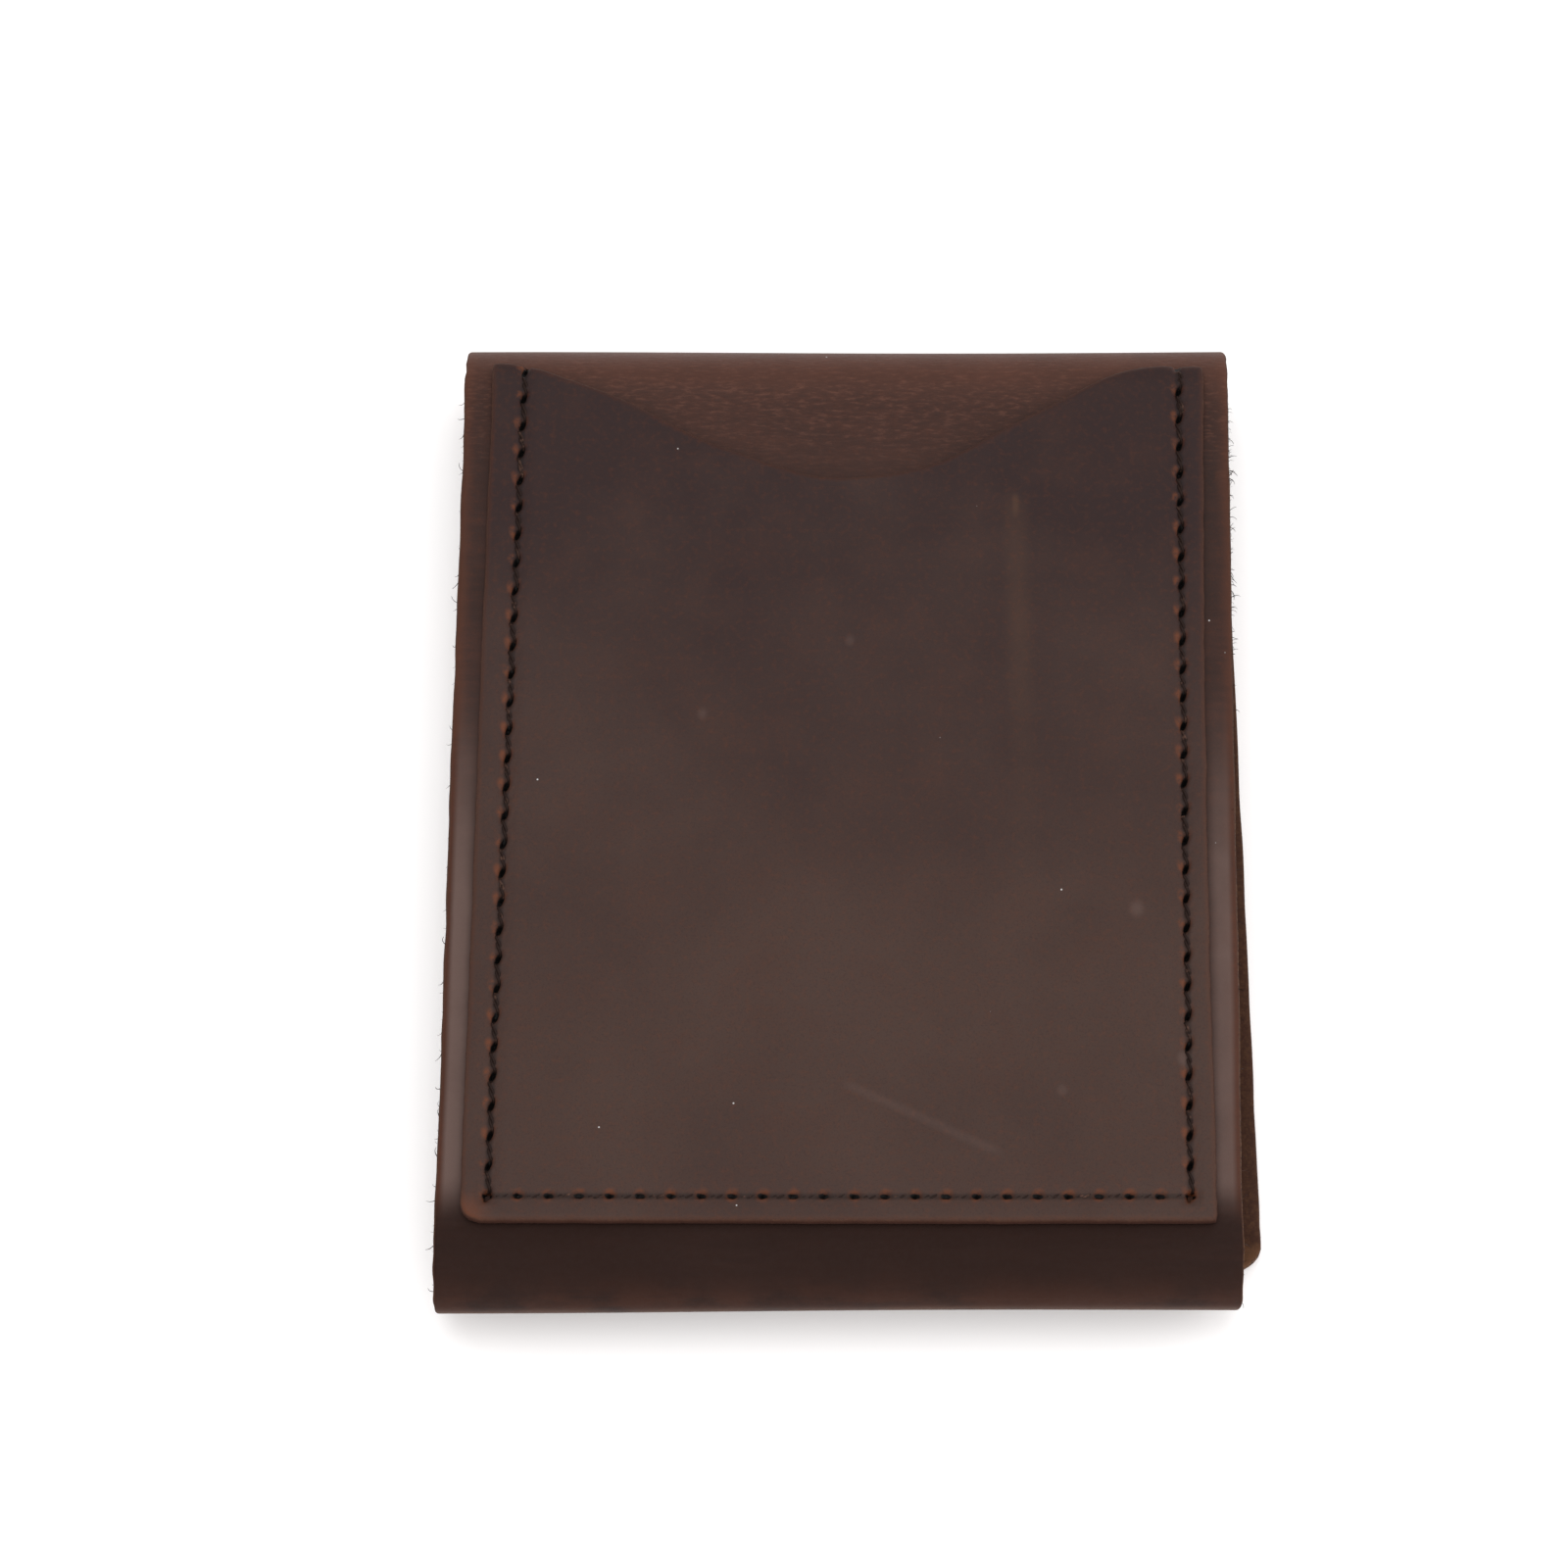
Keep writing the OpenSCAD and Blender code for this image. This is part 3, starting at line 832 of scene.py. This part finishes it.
def finish_for(name):
    """The object's materials, each made once."""
    if name not in _finishes:
        c = colours()
        if name == "shell":
            _finishes[name] = leather("waxed shell leather", c.shell_dark, c.shell_brown)
        elif name == "pocket":
            rows = []
            for _, points, slanted in pocket_holes():
                step = points[1] - points[0]
                pitch = float(step[1] if slanted else step[0])
                lean = float(step[0] / step[1]) if slanted else 0.0
                axis = "v" if slanted else "u"
                rows.append((float(points[0][0]), float(points[0][1]), axis, pitch, len(points) - 1,
                             HOLE_SLANT[axis], lean))
            _finishes[name] = leather("waxed pocket leather", c.cocoa, c.umber, rows, True)
        elif name == "gusset":
            _finishes[name] = leather("thin gusset leather", c.shell_dark, c.cocoa)
        elif name == "thread":
            _finishes[name] = thread_finish("waxed thread")
        elif name == "metal":
            _finishes[name] = metal_finish("magnet plating")
        elif name == "floor":
            _finishes[name] = floor_finish("plain floor")
    return _finishes[name]


# ---- pieces


def corner_half(distance, half, radius):
    """Half width at a distance from an end whose corners are rounded."""
    short = np.clip(radius - distance, 0, radius)
    return half - (radius - np.sqrt(np.maximum(radius ** 2 - short ** 2, 0)))


def strip_grid(rows_v, half, columns, wave_seed):
    """A flat grid from rows along the strip; half gives each row's half width."""
    share = columns / columns.max()
    edge_left = smooth_noise(len(rows_v), wave_seed, 40) * 0.03
    edge_right = smooth_noise(len(rows_v), wave_seed + 1, 40) * 0.03
    left, right = half + edge_left, half + edge_right
    u = np.where(share[None] < 0, share[None] * left[:, None], share[None] * right[:, None])
    return u, np.repeat(rows_v[:, None], len(columns), 1)


def shell_bend(_, v):
    """How far a place of the strip lies in one of its two folds."""
    k = layout()
    fold = ease(v, k.front - 1, k.front + 3) * (1 - ease(v, k.fold_end - 3, k.fold_end + 2))
    crease = ease(v, k.crease_start - 2, k.crease_start + 5)
    crease = crease * (1 - ease(v, k.flap_start - 5, k.flap_start + 2))
    return np.maximum(fold, crease)


def build_shell():
    k, s = layout(), sizes()
    rim = s.shell_rim / MM
    half = k.half - rim
    columns = spaced((-half, -half + 2, half - 2, half), (0.45, 1.15, 0.45))
    corner = s.mouth_corner / MM - rim
    rows = spaced((corner, k.front - 1, k.fold_end + 1, k.crease_start - 3, k.crease_middle),
                  (1.2, 0.42, 0.8, 0.35))
    rows = np.concatenate([rim + corner * (1 - np.cos(np.linspace(0, math.pi / 2, 9))), rows[1:]])
    u, v = strip_grid(rows, corner_half(rows - rim, half, corner), columns, 21)
    v = v + (crease_line(u) - k.crease_middle) * ease(v, k.crease_start - 15, k.crease_start)
    body = slab("shell_wall", u, v, 0.0, -k.leather, shell_place, rim, butt="last", seed=31,
                bend=shell_bend)
    rows = spaced((k.crease_middle, k.flap_start + 3, k.flap_end - 6, k.flap_end - s.flap_corner / MM),
                  (0.35, 1.2, 0.6))
    corner = s.flap_corner / MM - rim
    tip = k.flap_end - rim - corner * (1 - np.cos(np.linspace(math.pi / 2, 0, 12)))
    rows = np.concatenate([rows[:-1], tip])
    short = np.clip(1 - (k.flap_end - rim - rows) / corner, 0, 1)
    u, v = strip_grid(rows, half - 1.7 * corner * (1 - (1 - short ** 1.5) ** (1 / 1.5)), columns, 41)
    v = v + (crease_line(u) - k.crease_middle) * (1 - ease(v, k.flap_start, k.flap_start + 15))
    flap = slab("flap", u, v, 0.0, -k.leather, shell_place, rim, butt="first", seed=51,
                bend=shell_bend)
    for piece in (body, flap):
        piece.data.materials.append(finish_for("shell"))
    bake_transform(body)
    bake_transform(flap)
    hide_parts("shell_case", "shell_crease")
    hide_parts("shell_flap")


def pocket_grain(u, v):
    """Height of the pocket's grain side: seam grooves, holes and a soft swelling."""
    k, s = layout(), sizes()
    deep, hole = s.groove / MM, s.hole_depth / MM
    h = np.zeros_like(u)
    low = k.seam_y[0]
    for side in (-1, 1):
        gap = u - seam_u(v, side)
        inside = (v > low - 1).astype(float)
        h -= deep * np.exp(-(gap / 0.75) ** 2) * inside
        h += 0.05 * np.exp(-((np.abs(gap) - 1.5) / 0.6) ** 2) * inside
    gap = v - low
    h -= deep * np.exp(-(gap / 0.75) ** 2) * (np.abs(u) < k.seam_x + 1)
    for _, points, slanted in pocket_holes():
        axis = "v" if slanted else "u"
        wide, tall = HOLE[axis]
        for pu, pv in points:
            near = (np.abs(u - pu) < 1.6) & (np.abs(v - pv) < 1.6)
            du, dv = u[near] - pu, v[near] - pv
            along, across = (dv, du) if slanted else (du, dv)
            long_way = along * math.cos(HOLE_SLANT[axis]) + across * math.sin(HOLE_SLANT[axis])
            short_way = across * math.cos(HOLE_SLANT[axis]) - along * math.sin(HOLE_SLANT[axis])
            r = np.sqrt((short_way / wide) ** 2 + (long_way / tall) ** 2)
            h[near] -= hole * (1 - ease(r, 0.35, 1.35))
            h[near] += 0.06 * np.exp(-((r - 1.9) / 0.5) ** 2)
    return h


def build_pocket():
    k, s = layout(), sizes()
    rim = s.pocket_rim / MM
    half = k.pocket_half - rim
    step = s.spacing / MM
    low, high = k.pocket_y[0] + rim, k.pocket_y[1] - rim
    columns = spaced((-half, -half + 0.9, -half + 5.2, half - 4.2, half - 0.9, half),
                     (0.3, 0.26, 0.46, 0.26, 0.3))
    share = (columns + half) / (2 * half)
    start = high - MOUTH_STRETCH
    base = spaced((low, low + 4, start), (0.28, step))
    corner = s.pocket_corner / MM
    count = int(round(MOUTH_STRETCH / step))
    levels = np.concatenate([base, start + MOUTH_STRETCH * (np.arange(count) + 1) / count])
    rise = (levels - low) / (high - low)
    nick = corner - np.sqrt(np.maximum(corner ** 2 - np.clip(corner - (levels - low), 0, corner) ** 2, 0))
    left = -half + 0.4 * rise + nick + smooth_noise(len(levels), 61, 60) * 0.03
    right = half - 0.45 * np.sin(math.pi * rise) + smooth_noise(len(levels), 62, 60) * 0.03
    u = left[:, None] + (right - left)[:, None] * share[None]
    up = np.clip((levels - start) / (high - start), 0, 1)[:, None]
    top_edge = high - scoop(u) + 0.12 * np.sin(u * 0.5)
    v = np.where(levels[:, None] <= start, levels[:, None], start + (top_edge - start) * up)
    pocket = slab("pocket", u, v, pocket_grain(u, v), -k.pocket_leather, pocket_place, rim,
                  rough=0.02, seed=71, open_back=True)
    pocket.data.materials.append(finish_for("pocket"))
    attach(pocket, "case")
    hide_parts("outer_pocket")


def gusset_path():
    """Centre line of a gusset's section, as (outward, up) points with the pleat's bends eased."""
    k = layout()
    low, high = k.box["gusset_right"]
    wall = sizes().gusset_leather / MM
    out, pleat = high[0], low[0]
    inward = pleat + (out - pleat) * 0.176
    middle = (k.room_z + k.back_z) / 2
    a, b = k.back_z - wall / 2, k.room_z + wall / 2
    lean = wall * 0.55
    corners = [(out, a), (inward + lean, a), (pleat + lean, middle), (inward + lean, b), (out, b)]
    points = [np.array(corners[0])]
    for before, here, after in zip(corners, corners[1:], corners[2:]):
        before, here, after = (np.array(p) for p in (before, here, after))
        first = here + (before - here) / np.linalg.norm(before - here) * 0.9
        last = here + (after - here) / np.linalg.norm(after - here) * 0.9
        for t in np.linspace(0, 1, 7):
            points.append((1 - t) ** 2 * first + 2 * t * (1 - t) * here + t ** 2 * last)
    points.append(np.array(corners[-1]))
    points = np.array(points)
    run = np.concatenate([[0], np.cumsum(np.linalg.norm(np.diff(points, axis=0), axis=1))])
    return points, run


def build_gussets():
    k, s = layout(), sizes()
    points, run = gusset_path()
    wall = s.gusset_leather / MM
    rim = 0.2
    low, high = k.box["gusset_right"]
    flange = run[1]

    def placer(side):
        def place(u, v, h):
            across = u if side < 0 else run[-1] - u
            x = np.interp(across, run, points[:, 0])
            z = np.interp(across, run, points[:, 1])
            ahead = np.interp(across + 0.05, run, points[:, 0]), np.interp(across + 0.05, run, points[:, 1])
            behind = np.interp(across - 0.05, run, points[:, 0]), np.interp(across - 0.05, run, points[:, 1])
            dx, dz = ahead[0] - behind[0], ahead[1] - behind[1]
            size = np.sqrt(dx ** 2 + dz ** 2)
            nx, nz = -dz / size, dx / size
            depth = h + wall / 2
            return np.stack([side * (x + nx * depth), v, z + nz * depth], -1)
        return place

    for name, side in (("gusset_left_fold", -1), ("gusset_right_fold", 1)):
        node = "gusset_left" if side < 0 else "gusset_right"
        across = spaced((rim, run[-1] - rim), (0.3,))
        levels = spaced((low[1] + rim, k.mouth_y - rim), (0.9,))
        where = across if side < 0 else run[-1] - across
        end = levels[-1] + (high[1] - k.mouth_y) * (1 - ease(where, flange - 0.4, flange + 0.6))
        share = (levels - levels[0]) / (levels[-1] - levels[0])
        u = np.repeat(across[None], len(levels), 0)
        v = levels[0] + (end[None] - levels[0]) * share[:, None]
        piece = slab(name, u, v, 0.0, -wall, placer(side), rim, seed=81 + side, rough=0.015)
        piece.data.materials.append(finish_for("gusset"))
        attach(piece, "case")
        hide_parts(node)


def build_covers():
    k = layout()
    for name, node, body, turn in (("front_cover_patch", "front_magnet_cover", "case", 0.0),
                                   ("flap_cover_patch", "flap_magnet_cover", "flap", 2 * k.skew)):
        low, high = k.box[node]
        centre = (low + high) / 2
        thick = high[2] - low[2]
        straight = (high[0] - low[0] - 2 * COVER_CORNER) / (math.cos(turn) + abs(math.sin(turn)))
        rim = 0.2
        half = straight / 2 + COVER_CORNER - rim
        rows = spaced((-half, -half + 2, half - 2, half), (0.25, 0.8, 0.25))
        width = corner_half(half - np.abs(rows), half, COVER_CORNER)
        u = width[:, None] * (rows / half)[None]
        v = np.repeat(rows[:, None], len(rows), 1)
        c, s = math.cos(turn), math.sin(turn)

        def place(a, b, h, centre=centre, c=c, s=s, low=low, thick=thick):
            dome = 0.12 * np.exp(-((a ** 2 + b ** 2) / 36.0))
            z = low[2] + thick + h + np.where(h > -thick / 2, dome, 0)
            return np.stack([centre[0] + a * c - b * s, centre[1] + a * s + b * c, z], -1)

        piece = slab(name, u, v, 0.0, -thick, place, rim, seed=91, rough=0.015)
        piece.data.materials.append(finish_for("gusset"))
        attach(piece, body)
        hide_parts(node)
    for node in ("front_magnet", "flap_magnet"):
        disc = frame["nodes"][node]
        disc.data.materials.clear()
        disc.data.materials.append(finish_for("metal"))


# ---- repeated pieces


def socket(tree, name, kind, direction="INPUT", default=None):
    made = tree.interface.new_socket(name, in_out=direction, socket_type=kind)
    if default is not None:
        made.default_value = default
    return made.identifier


def set_pieces(g, points, pattern, angle, size, finish):
    """Sets one object on every point, makes the copies real and paints them."""
    twist = g.node("FunctionNodeEulerToRotation", None, {0: angle})
    model = g.node("GeometryNodeObjectInfo", None, {"Object": pattern, "As Instance": True}, "Geometry")
    placed = g.node("GeometryNodeInstanceOnPoints", None,
                    {"Points": points, "Instance": model, "Rotation": twist, "Scale": size})
    solid = g.node("GeometryNodeRealizeInstances", None, {0: placed})
    painted = g.node("GeometryNodeSetMaterial", None, {"Geometry": solid, "Material": finish})
    g.node("NodeGroupOutput", None, {0: painted})


def stitch_tree():
    """Sets a stitch on every point of a row, turned and stretched as the point says."""
    tree = bpy.data.node_groups.new("Stitch row", "GeometryNodeTree")
    keys = {
        "row": socket(tree, "Row", "NodeSocketGeometry"),
        "stitch": socket(tree, "Stitch", "NodeSocketObject"),
        "finish": socket(tree, "Finish", "NodeSocketMaterial"),
        "wander": socket(tree, "Wander", "NodeSocketFloat", default=0.05),
        "seed": socket(tree, "Seed", "NodeSocketInt", default=1),
    }
    socket(tree, "Stitches", "NodeSocketGeometry", "OUTPUT")
    g = Graph(tree)
    given = g.given(keys)
    turn, size = (g.node("GeometryNodeInputNamedAttribute", {"data_type": "FLOAT_VECTOR"}, {"Name": name},
                         "Attribute") for name in ("turn", "size"))
    spread = g.node("ShaderNodeVectorMath", {"operation": "SCALE"},
                    {0: (0.5, 0.5, 1.0), "Scale": given["wander"]})
    least = g.vector("SUBTRACT", (0.0, 0.0, 0.0), spread)
    shake = g.node("FunctionNodeRandomValue", {"data_type": "FLOAT_VECTOR"},
                   {"Min": least, "Max": spread, "Seed": given["seed"]}, "Value")
    angle = g.vector("ADD", turn, shake)
    set_pieces(g, given["row"], given["stitch"], angle, size, given["finish"])
    return tree, keys


def fibre_tree():
    """Scatters loose fibres over a narrow band."""
    tree = bpy.data.node_groups.new("Loose fibres", "GeometryNodeTree")
    keys = {
        "band": socket(tree, "Band", "NodeSocketGeometry"),
        "fibre": socket(tree, "Fibre", "NodeSocketObject"),
        "finish": socket(tree, "Finish", "NodeSocketMaterial"),
        "density": socket(tree, "Density", "NodeSocketFloat", default=1e6),
        "seed": socket(tree, "Seed", "NodeSocketInt", default=1),
    }
    socket(tree, "Fibres", "NodeSocketGeometry", "OUTPUT")
    g = Graph(tree)
    given = g.given(keys)
    spots = g.node("GeometryNodeDistributePointsOnFaces", None,
                   {"Mesh": given["band"], "Density": given["density"], "Seed": given["seed"]}, "Points")
    angle = g.node("FunctionNodeRandomValue", {"data_type": "FLOAT_VECTOR"},
                   {"Min": (-1.2, -1.0, -1.5), "Max": (1.2, 1.0, 1.5), "Seed": given["seed"]}, "Value")
    size = g.node("FunctionNodeRandomValue", {"data_type": "FLOAT"},
                  {"Min": 0.25, "Max": 1.0, "Seed": given["seed"]}, "Value")
    set_pieces(g, spots, given["fibre"], angle, size, given["finish"])
    return tree, keys


def realise(name, source, tree, values):
    """Runs a node tree on a source mesh and keeps the result as one plain object."""
    change = source.modifiers.new("Build", "NODES")
    change.node_group = tree
    for key, value in values.items():
        change[key] = value
    graph = bpy.context.evaluated_depsgraph_get()
    mesh = bpy.data.meshes.new_from_object(source.evaluated_get(graph))
    if not len(mesh.polygons):
        raise RuntimeError(f"{name} came out empty")
    mesh.name = name
    source.modifiers.clear()
    bpy.data.objects.remove(source)
    mesh.shade_smooth()
    return add_object(name, mesh)


def stitch_model():
    """One stitch of two twisted strands that dives into the leather at both ends, one pitch long on Y."""
    s = sizes()
    pitch, strand = s.stitch_pitch / MM, s.strand / MM
    points, faces = [], []
    t = np.linspace(0, 1, 9)
    for lobe in (0, 1):
        twist = t * math.pi * 1.9 + lobe * math.pi + 0.5
        x = 0.15 * (1 - 2 * ease(t, 0.1, 0.9)) + 0.82 * strand * np.cos(twist)
        y = pitch * (0.12 + 0.76 * t)
        z = -0.62 + 0.64 * (1 - np.abs(2 * t - 1) ** 3.2) + 0.82 * strand * np.sin(twist)
        made, found = tube(np.stack([x, y, z], -1), strand, 5, lobe * 0.6)
        faces.extend([[i + sum(len(p) for p in points) for i in face] for face in found])
        points.append(made)
    mesh = bpy.data.meshes.new("stitch")
    mesh.from_pydata((np.concatenate(points) * MM).tolist(), [], faces)
    mesh.shade_smooth()
    mesh.update()
    return add_object("stitch_pattern", mesh)


def row_mesh(name, runs):
    """Points with turn and size for stitches; runs are (points, the way the stitches face)."""
    places, turns, scales = [], [], []
    pitch = sizes().stitch_pitch / MM
    for points, normal in runs:
        for a, b in zip(points, points[1:]):
            along = b - a
            reach = np.linalg.norm(along)
            y = along / reach
            x = np.cross(y, normal)
            x /= np.linalg.norm(x)
            z = np.cross(x, y)
            turn = Matrix(np.stack([x, y, z], 1).tolist())
            places.append(a)
            turns.append(tuple(turn.to_euler()))
            scales.append((1.0, reach / pitch, 1.0))
    mesh = bpy.data.meshes.new(name)
    mesh.from_pydata((np.array(places) * MM).tolist(), [], [])
    attribute(mesh, "turn", np.array(turns))
    attribute(mesh, "size", np.array(scales))
    return add_object(name, mesh)


def build_stitches():
    k = layout()
    tree, keys = stitch_tree()
    up, down = np.array([0.0, 0.0, 1.0]), np.array([0.0, 0.0, -1.0])
    groove = sizes().groove / MM

    def sew(name, runs, node):
        pattern = stitch_model()
        source = row_mesh(name + "_row", runs)
        piece = realise(name, source, tree, {
            keys["stitch"]: pattern, keys["finish"]: finish_for("thread"), keys["wander"]: 0.05,
            keys["seed"]: stage_settings().seed})
        bpy.data.objects.remove(pattern)
        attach(piece, "case")
        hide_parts(node)

    outside, inside = [], []
    for name, points, slanted in pocket_holes():
        sunk = -groove + 0.03 if slanted else -groove - 0.13
        shift = 0.0 if slanted else -0.1
        places = pocket_place(points[:, 0], points[:, 1] + shift, np.full(len(points), sunk))
        outside.append((places, up))
        if name == "right":
            doubled = places[-3:] + np.array([0.22, 0.0, 0.12])
            outside.append((doubled, up))
        level = k.back_z - (sizes().gusset_leather / MM if slanted else 0.0) - 0.08
        inner = np.column_stack([points, np.full(len(points), level)])
        if name == "left":
            inner[:, 0] = -k.seam_x
        inside.append((inner[::-1], down))
    sew("pocket_stitches", outside, "pocket_needle_thread")
    sew("inner_stitches", inside, "pocket_bobbin_thread")
    for name, node, side in (("front_stitches_left", "front_thread_left", -1),
                             ("front_stitches_right", "front_thread_right", 1)):
        low, high = k.front_seam_y
        count = int(round((high - low) / (sizes().stitch_pitch / MM)))
        y = np.linspace(low, high, count + 1)
        x = np.full_like(y, side * k.seam_x)
        outer = np.column_stack([x, y, np.full_like(y, k.front_z - 0.08)])
        inner = np.column_stack([x, y, np.full_like(y, k.room_z + sizes().gusset_leather / MM + 0.08)])
        sew(name, [(outer[::-1], down), (inner, up)], node)


def fibre_model():
    """One loose fibre, thinner towards its end."""
    t = np.linspace(0, 1, 6)
    reach = sizes().fibre / MM
    path = np.stack([reach * t, 0.25 * reach * np.sin(t * 2.6), 0.2 * reach * t ** 2], -1)
    points, faces = [], []
    for i, place in enumerate(path):
        a = np.arange(3) * 2 * math.pi / 3
        r = 0.06 * (1 - 0.6 * t[i])
        points.extend(place + np.stack([np.zeros(3), np.cos(a) * r, np.sin(a) * r], -1))
    for i in range(len(path) - 1):
        for j in range(3):
            n = (j + 1) % 3
            faces.append([i * 3 + j, i * 3 + n, (i + 1) * 3 + n, (i + 1) * 3 + j])
    faces.append([2, 1, 0])
    faces.append([len(points) - 3, len(points) - 2, len(points) - 1])
    mesh = bpy.data.meshes.new("fibre")
    mesh.from_pydata((np.array(points) * MM).tolist(), [], faces)
    mesh.update()
    return add_object("fibre_pattern", mesh)


def build_fibres():
    """Fibres on the body's side edges. They stop short of the crease, which bends away from the body."""
    k = layout()
    tree, keys = fibre_tree()
    seed = stage_settings().seed

    def scatter(name, side, start, end, density, number):
        v = np.linspace(start, end, 24)
        u = np.full_like(v, side * (k.half - 0.12))
        upper = shell_place(u, v, np.full_like(v, -0.25))
        lower = shell_place(u, v, np.full_like(v, -1.0))
        points = np.concatenate([upper, lower]) * MM
        count = len(v)
        faces = [[i, i + 1, count + i + 1, count + i] for i in range(count - 1)]
        mesh = bpy.data.meshes.new(name)
        mesh.from_pydata(points.tolist(), [], faces)
        mesh.update()
        pattern = fibre_model()
        if side < 0:
            pattern.data.transform(Matrix.Rotation(math.pi, 4, "Z"))
        piece = realise(name, add_object(name + "_band", mesh), tree, {
            keys["fibre"]: pattern, keys["finish"]: finish_for("thread"), keys["density"]: density,
            keys["seed"]: seed + number})
        bpy.data.objects.remove(pattern)
        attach(piece, "case")

    end = k.crease_start - 1
    scatter("fibres_right", 1, end - 28, end, 5.0e6, 1)
    scatter("fibres_right_low", 1, k.fold_end - 9, end - 28, 9.0e5, 2)
    scatter("fibres_left", -1, k.fold_end - 6, end, 8.0e5, 3)


# ---- stage


def build_stage():
    p = stage_settings()
    scene = bpy.context.scene
    mesh = bpy.data.meshes.new("floor")
    reach, level = 2.5, -0.00005
    mesh.from_pydata([(-reach, -reach, level), (reach, -reach, level), (reach, reach, level),
                      (-reach, reach, level)], [], [(0, 1, 2, 3)])
    floor = add_object("floor", mesh)
    floor.data.materials.append(finish_for("floor"))
    direction = Vector((math.sin(p.yaw) * math.cos(p.pitch), math.cos(p.yaw) * math.cos(p.pitch),
                        -math.sin(p.pitch)))
    right = direction.cross(Vector((0, 0, 1))).normalized()
    up = right.cross(direction)
    tilted_right = math.cos(p.roll) * right + math.sin(p.roll) * up
    tilted_up = -math.sin(p.roll) * right + math.cos(p.roll) * up
    turn = Matrix((tilted_right, tilted_up, -direction)).transposed().to_4x4()
    lens = bpy.data.cameras.new("camera")
    lens.lens, lens.sensor_width = p.lens, 36.0
    lens.clip_start, lens.clip_end = 0.01, 20.0
    camera = bpy.data.objects.new("camera", lens)
    camera.matrix_world = Matrix.Translation(Vector(p.place)) @ turn
    scene.collection.objects.link(camera)
    scene.camera = camera
    for name, place, size, power in (("key", (-0.08, 0.12, 1.2), 1.0, p.key),
                                     ("fill", (0.9, 0.1, 0.6), 0.8, p.fill),
                                     ("front", (0.0, -1.1, 0.6), 1.2, p.front)):
        lamp = bpy.data.lights.new(name, "AREA")
        lamp.shape, lamp.size, lamp.energy = "SQUARE", size, power
        light = bpy.data.objects.new(name, lamp)
        aim = Vector((0, 0, 0)) - Vector(place)
        turn = aim.to_track_quat("-Z", "Y").to_matrix().to_4x4()
        light.matrix_world = Matrix.Translation(Vector(place)) @ turn
        scene.collection.objects.link(light)
    world = bpy.data.worlds.new("surround")
    world.use_nodes = True
    g = Graph(world.node_tree)
    world.node_tree.nodes.clear()
    pale = g.node("ShaderNodeBackground", None, {"Color": (1.0, 0.965, 0.95, 1), "Strength": p.sky})
    g.node("ShaderNodeOutputWorld", None, {"Surface": pale})
    scene.world = world
    scene.view_settings.view_transform = "Standard"
    scene.view_settings.look = "None"


# ---- operators and panel


class CASE_OT_shell(bpy.types.Operator):
    """Build the folded shell strip and its flap"""

    bl_idname = "card_case.shell"
    bl_label = "Build shell"

    def execute(self, context):
        build_shell()
        return {"FINISHED"}


class CASE_OT_pocket(bpy.types.Operator):
    """Build the outer pocket with its thumb scoop"""

    bl_idname = "card_case.pocket"
    bl_label = "Build pocket"

    def execute(self, context):
        build_pocket()
        return {"FINISHED"}


class CASE_OT_gussets(bpy.types.Operator):
    """Build the two pleated gussets"""

    bl_idname = "card_case.gussets"
    bl_label = "Build gussets"

    def execute(self, context):
        build_gussets()
        return {"FINISHED"}


class CASE_OT_closure(bpy.types.Operator):
    """Build the magnet covers and plate the magnets"""

    bl_idname = "card_case.closure"
    bl_label = "Build closure"

    def execute(self, context):
        build_covers()
        return {"FINISHED"}


class CASE_OT_stitches(bpy.types.Operator):
    """Sew every row of stitches"""

    bl_idname = "card_case.stitches"
    bl_label = "Sew stitches"

    def execute(self, context):
        build_stitches()
        return {"FINISHED"}


class CASE_OT_fibres(bpy.types.Operator):
    """Scatter loose fibres along the cut edges"""

    bl_idname = "card_case.fibres"
    bl_label = "Scatter fibres"

    def execute(self, context):
        build_fibres()
        return {"FINISHED"}


class CASE_OT_stage(bpy.types.Operator):
    """Set the floor, the lights and the camera"""

    bl_idname = "card_case.stage"
    bl_label = "Set the stage"

    def execute(self, context):
        build_stage()
        return {"FINISHED"}


class CASE_PT_panel(bpy.types.Panel):
    """Buttons that build the card case"""

    bl_label = "Card case"
    bl_idname = "CASE_PT_panel"
    bl_space_type = "VIEW_3D"
    bl_region_type = "UI"
    bl_category = "Card case"

    def draw(self, context):
        for made in operators:
            self.layout.operator(made.bl_idname)
        for group in (context.scene.card_case_sizes, context.scene.card_case_colours,
                      context.scene.card_case_view):
            box = self.layout.box()
            for name in group.bl_rna.properties.keys():
                if name not in ("rna_type", "name"):
                    box.prop(group, name)


operators = (CASE_OT_shell, CASE_OT_pocket, CASE_OT_gussets, CASE_OT_closure, CASE_OT_stitches,
             CASE_OT_fibres, CASE_OT_stage)
classes = (CaseSizes, CaseColours, CaseView, *operators, CASE_PT_panel)


def register():
    for made in classes:
        bpy.utils.register_class(made)
    bpy.types.Scene.card_case_sizes = PointerProperty(type=CaseSizes)
    bpy.types.Scene.card_case_colours = PointerProperty(type=CaseColours)
    bpy.types.Scene.card_case_view = PointerProperty(type=CaseView)


def unregister():
    del bpy.types.Scene.card_case_sizes
    del bpy.types.Scene.card_case_colours
    del bpy.types.Scene.card_case_view
    for made in reversed(classes):
        bpy.utils.unregister_class(made)


def main():
    register()
    for step in ("shell", "pocket", "gussets", "closure", "stitches", "fibres", "stage"):
        if getattr(bpy.ops.card_case, step)() != {"FINISHED"}:
            raise RuntimeError(f"{step} didn't finish")


if __name__ == "__main__":
    main()
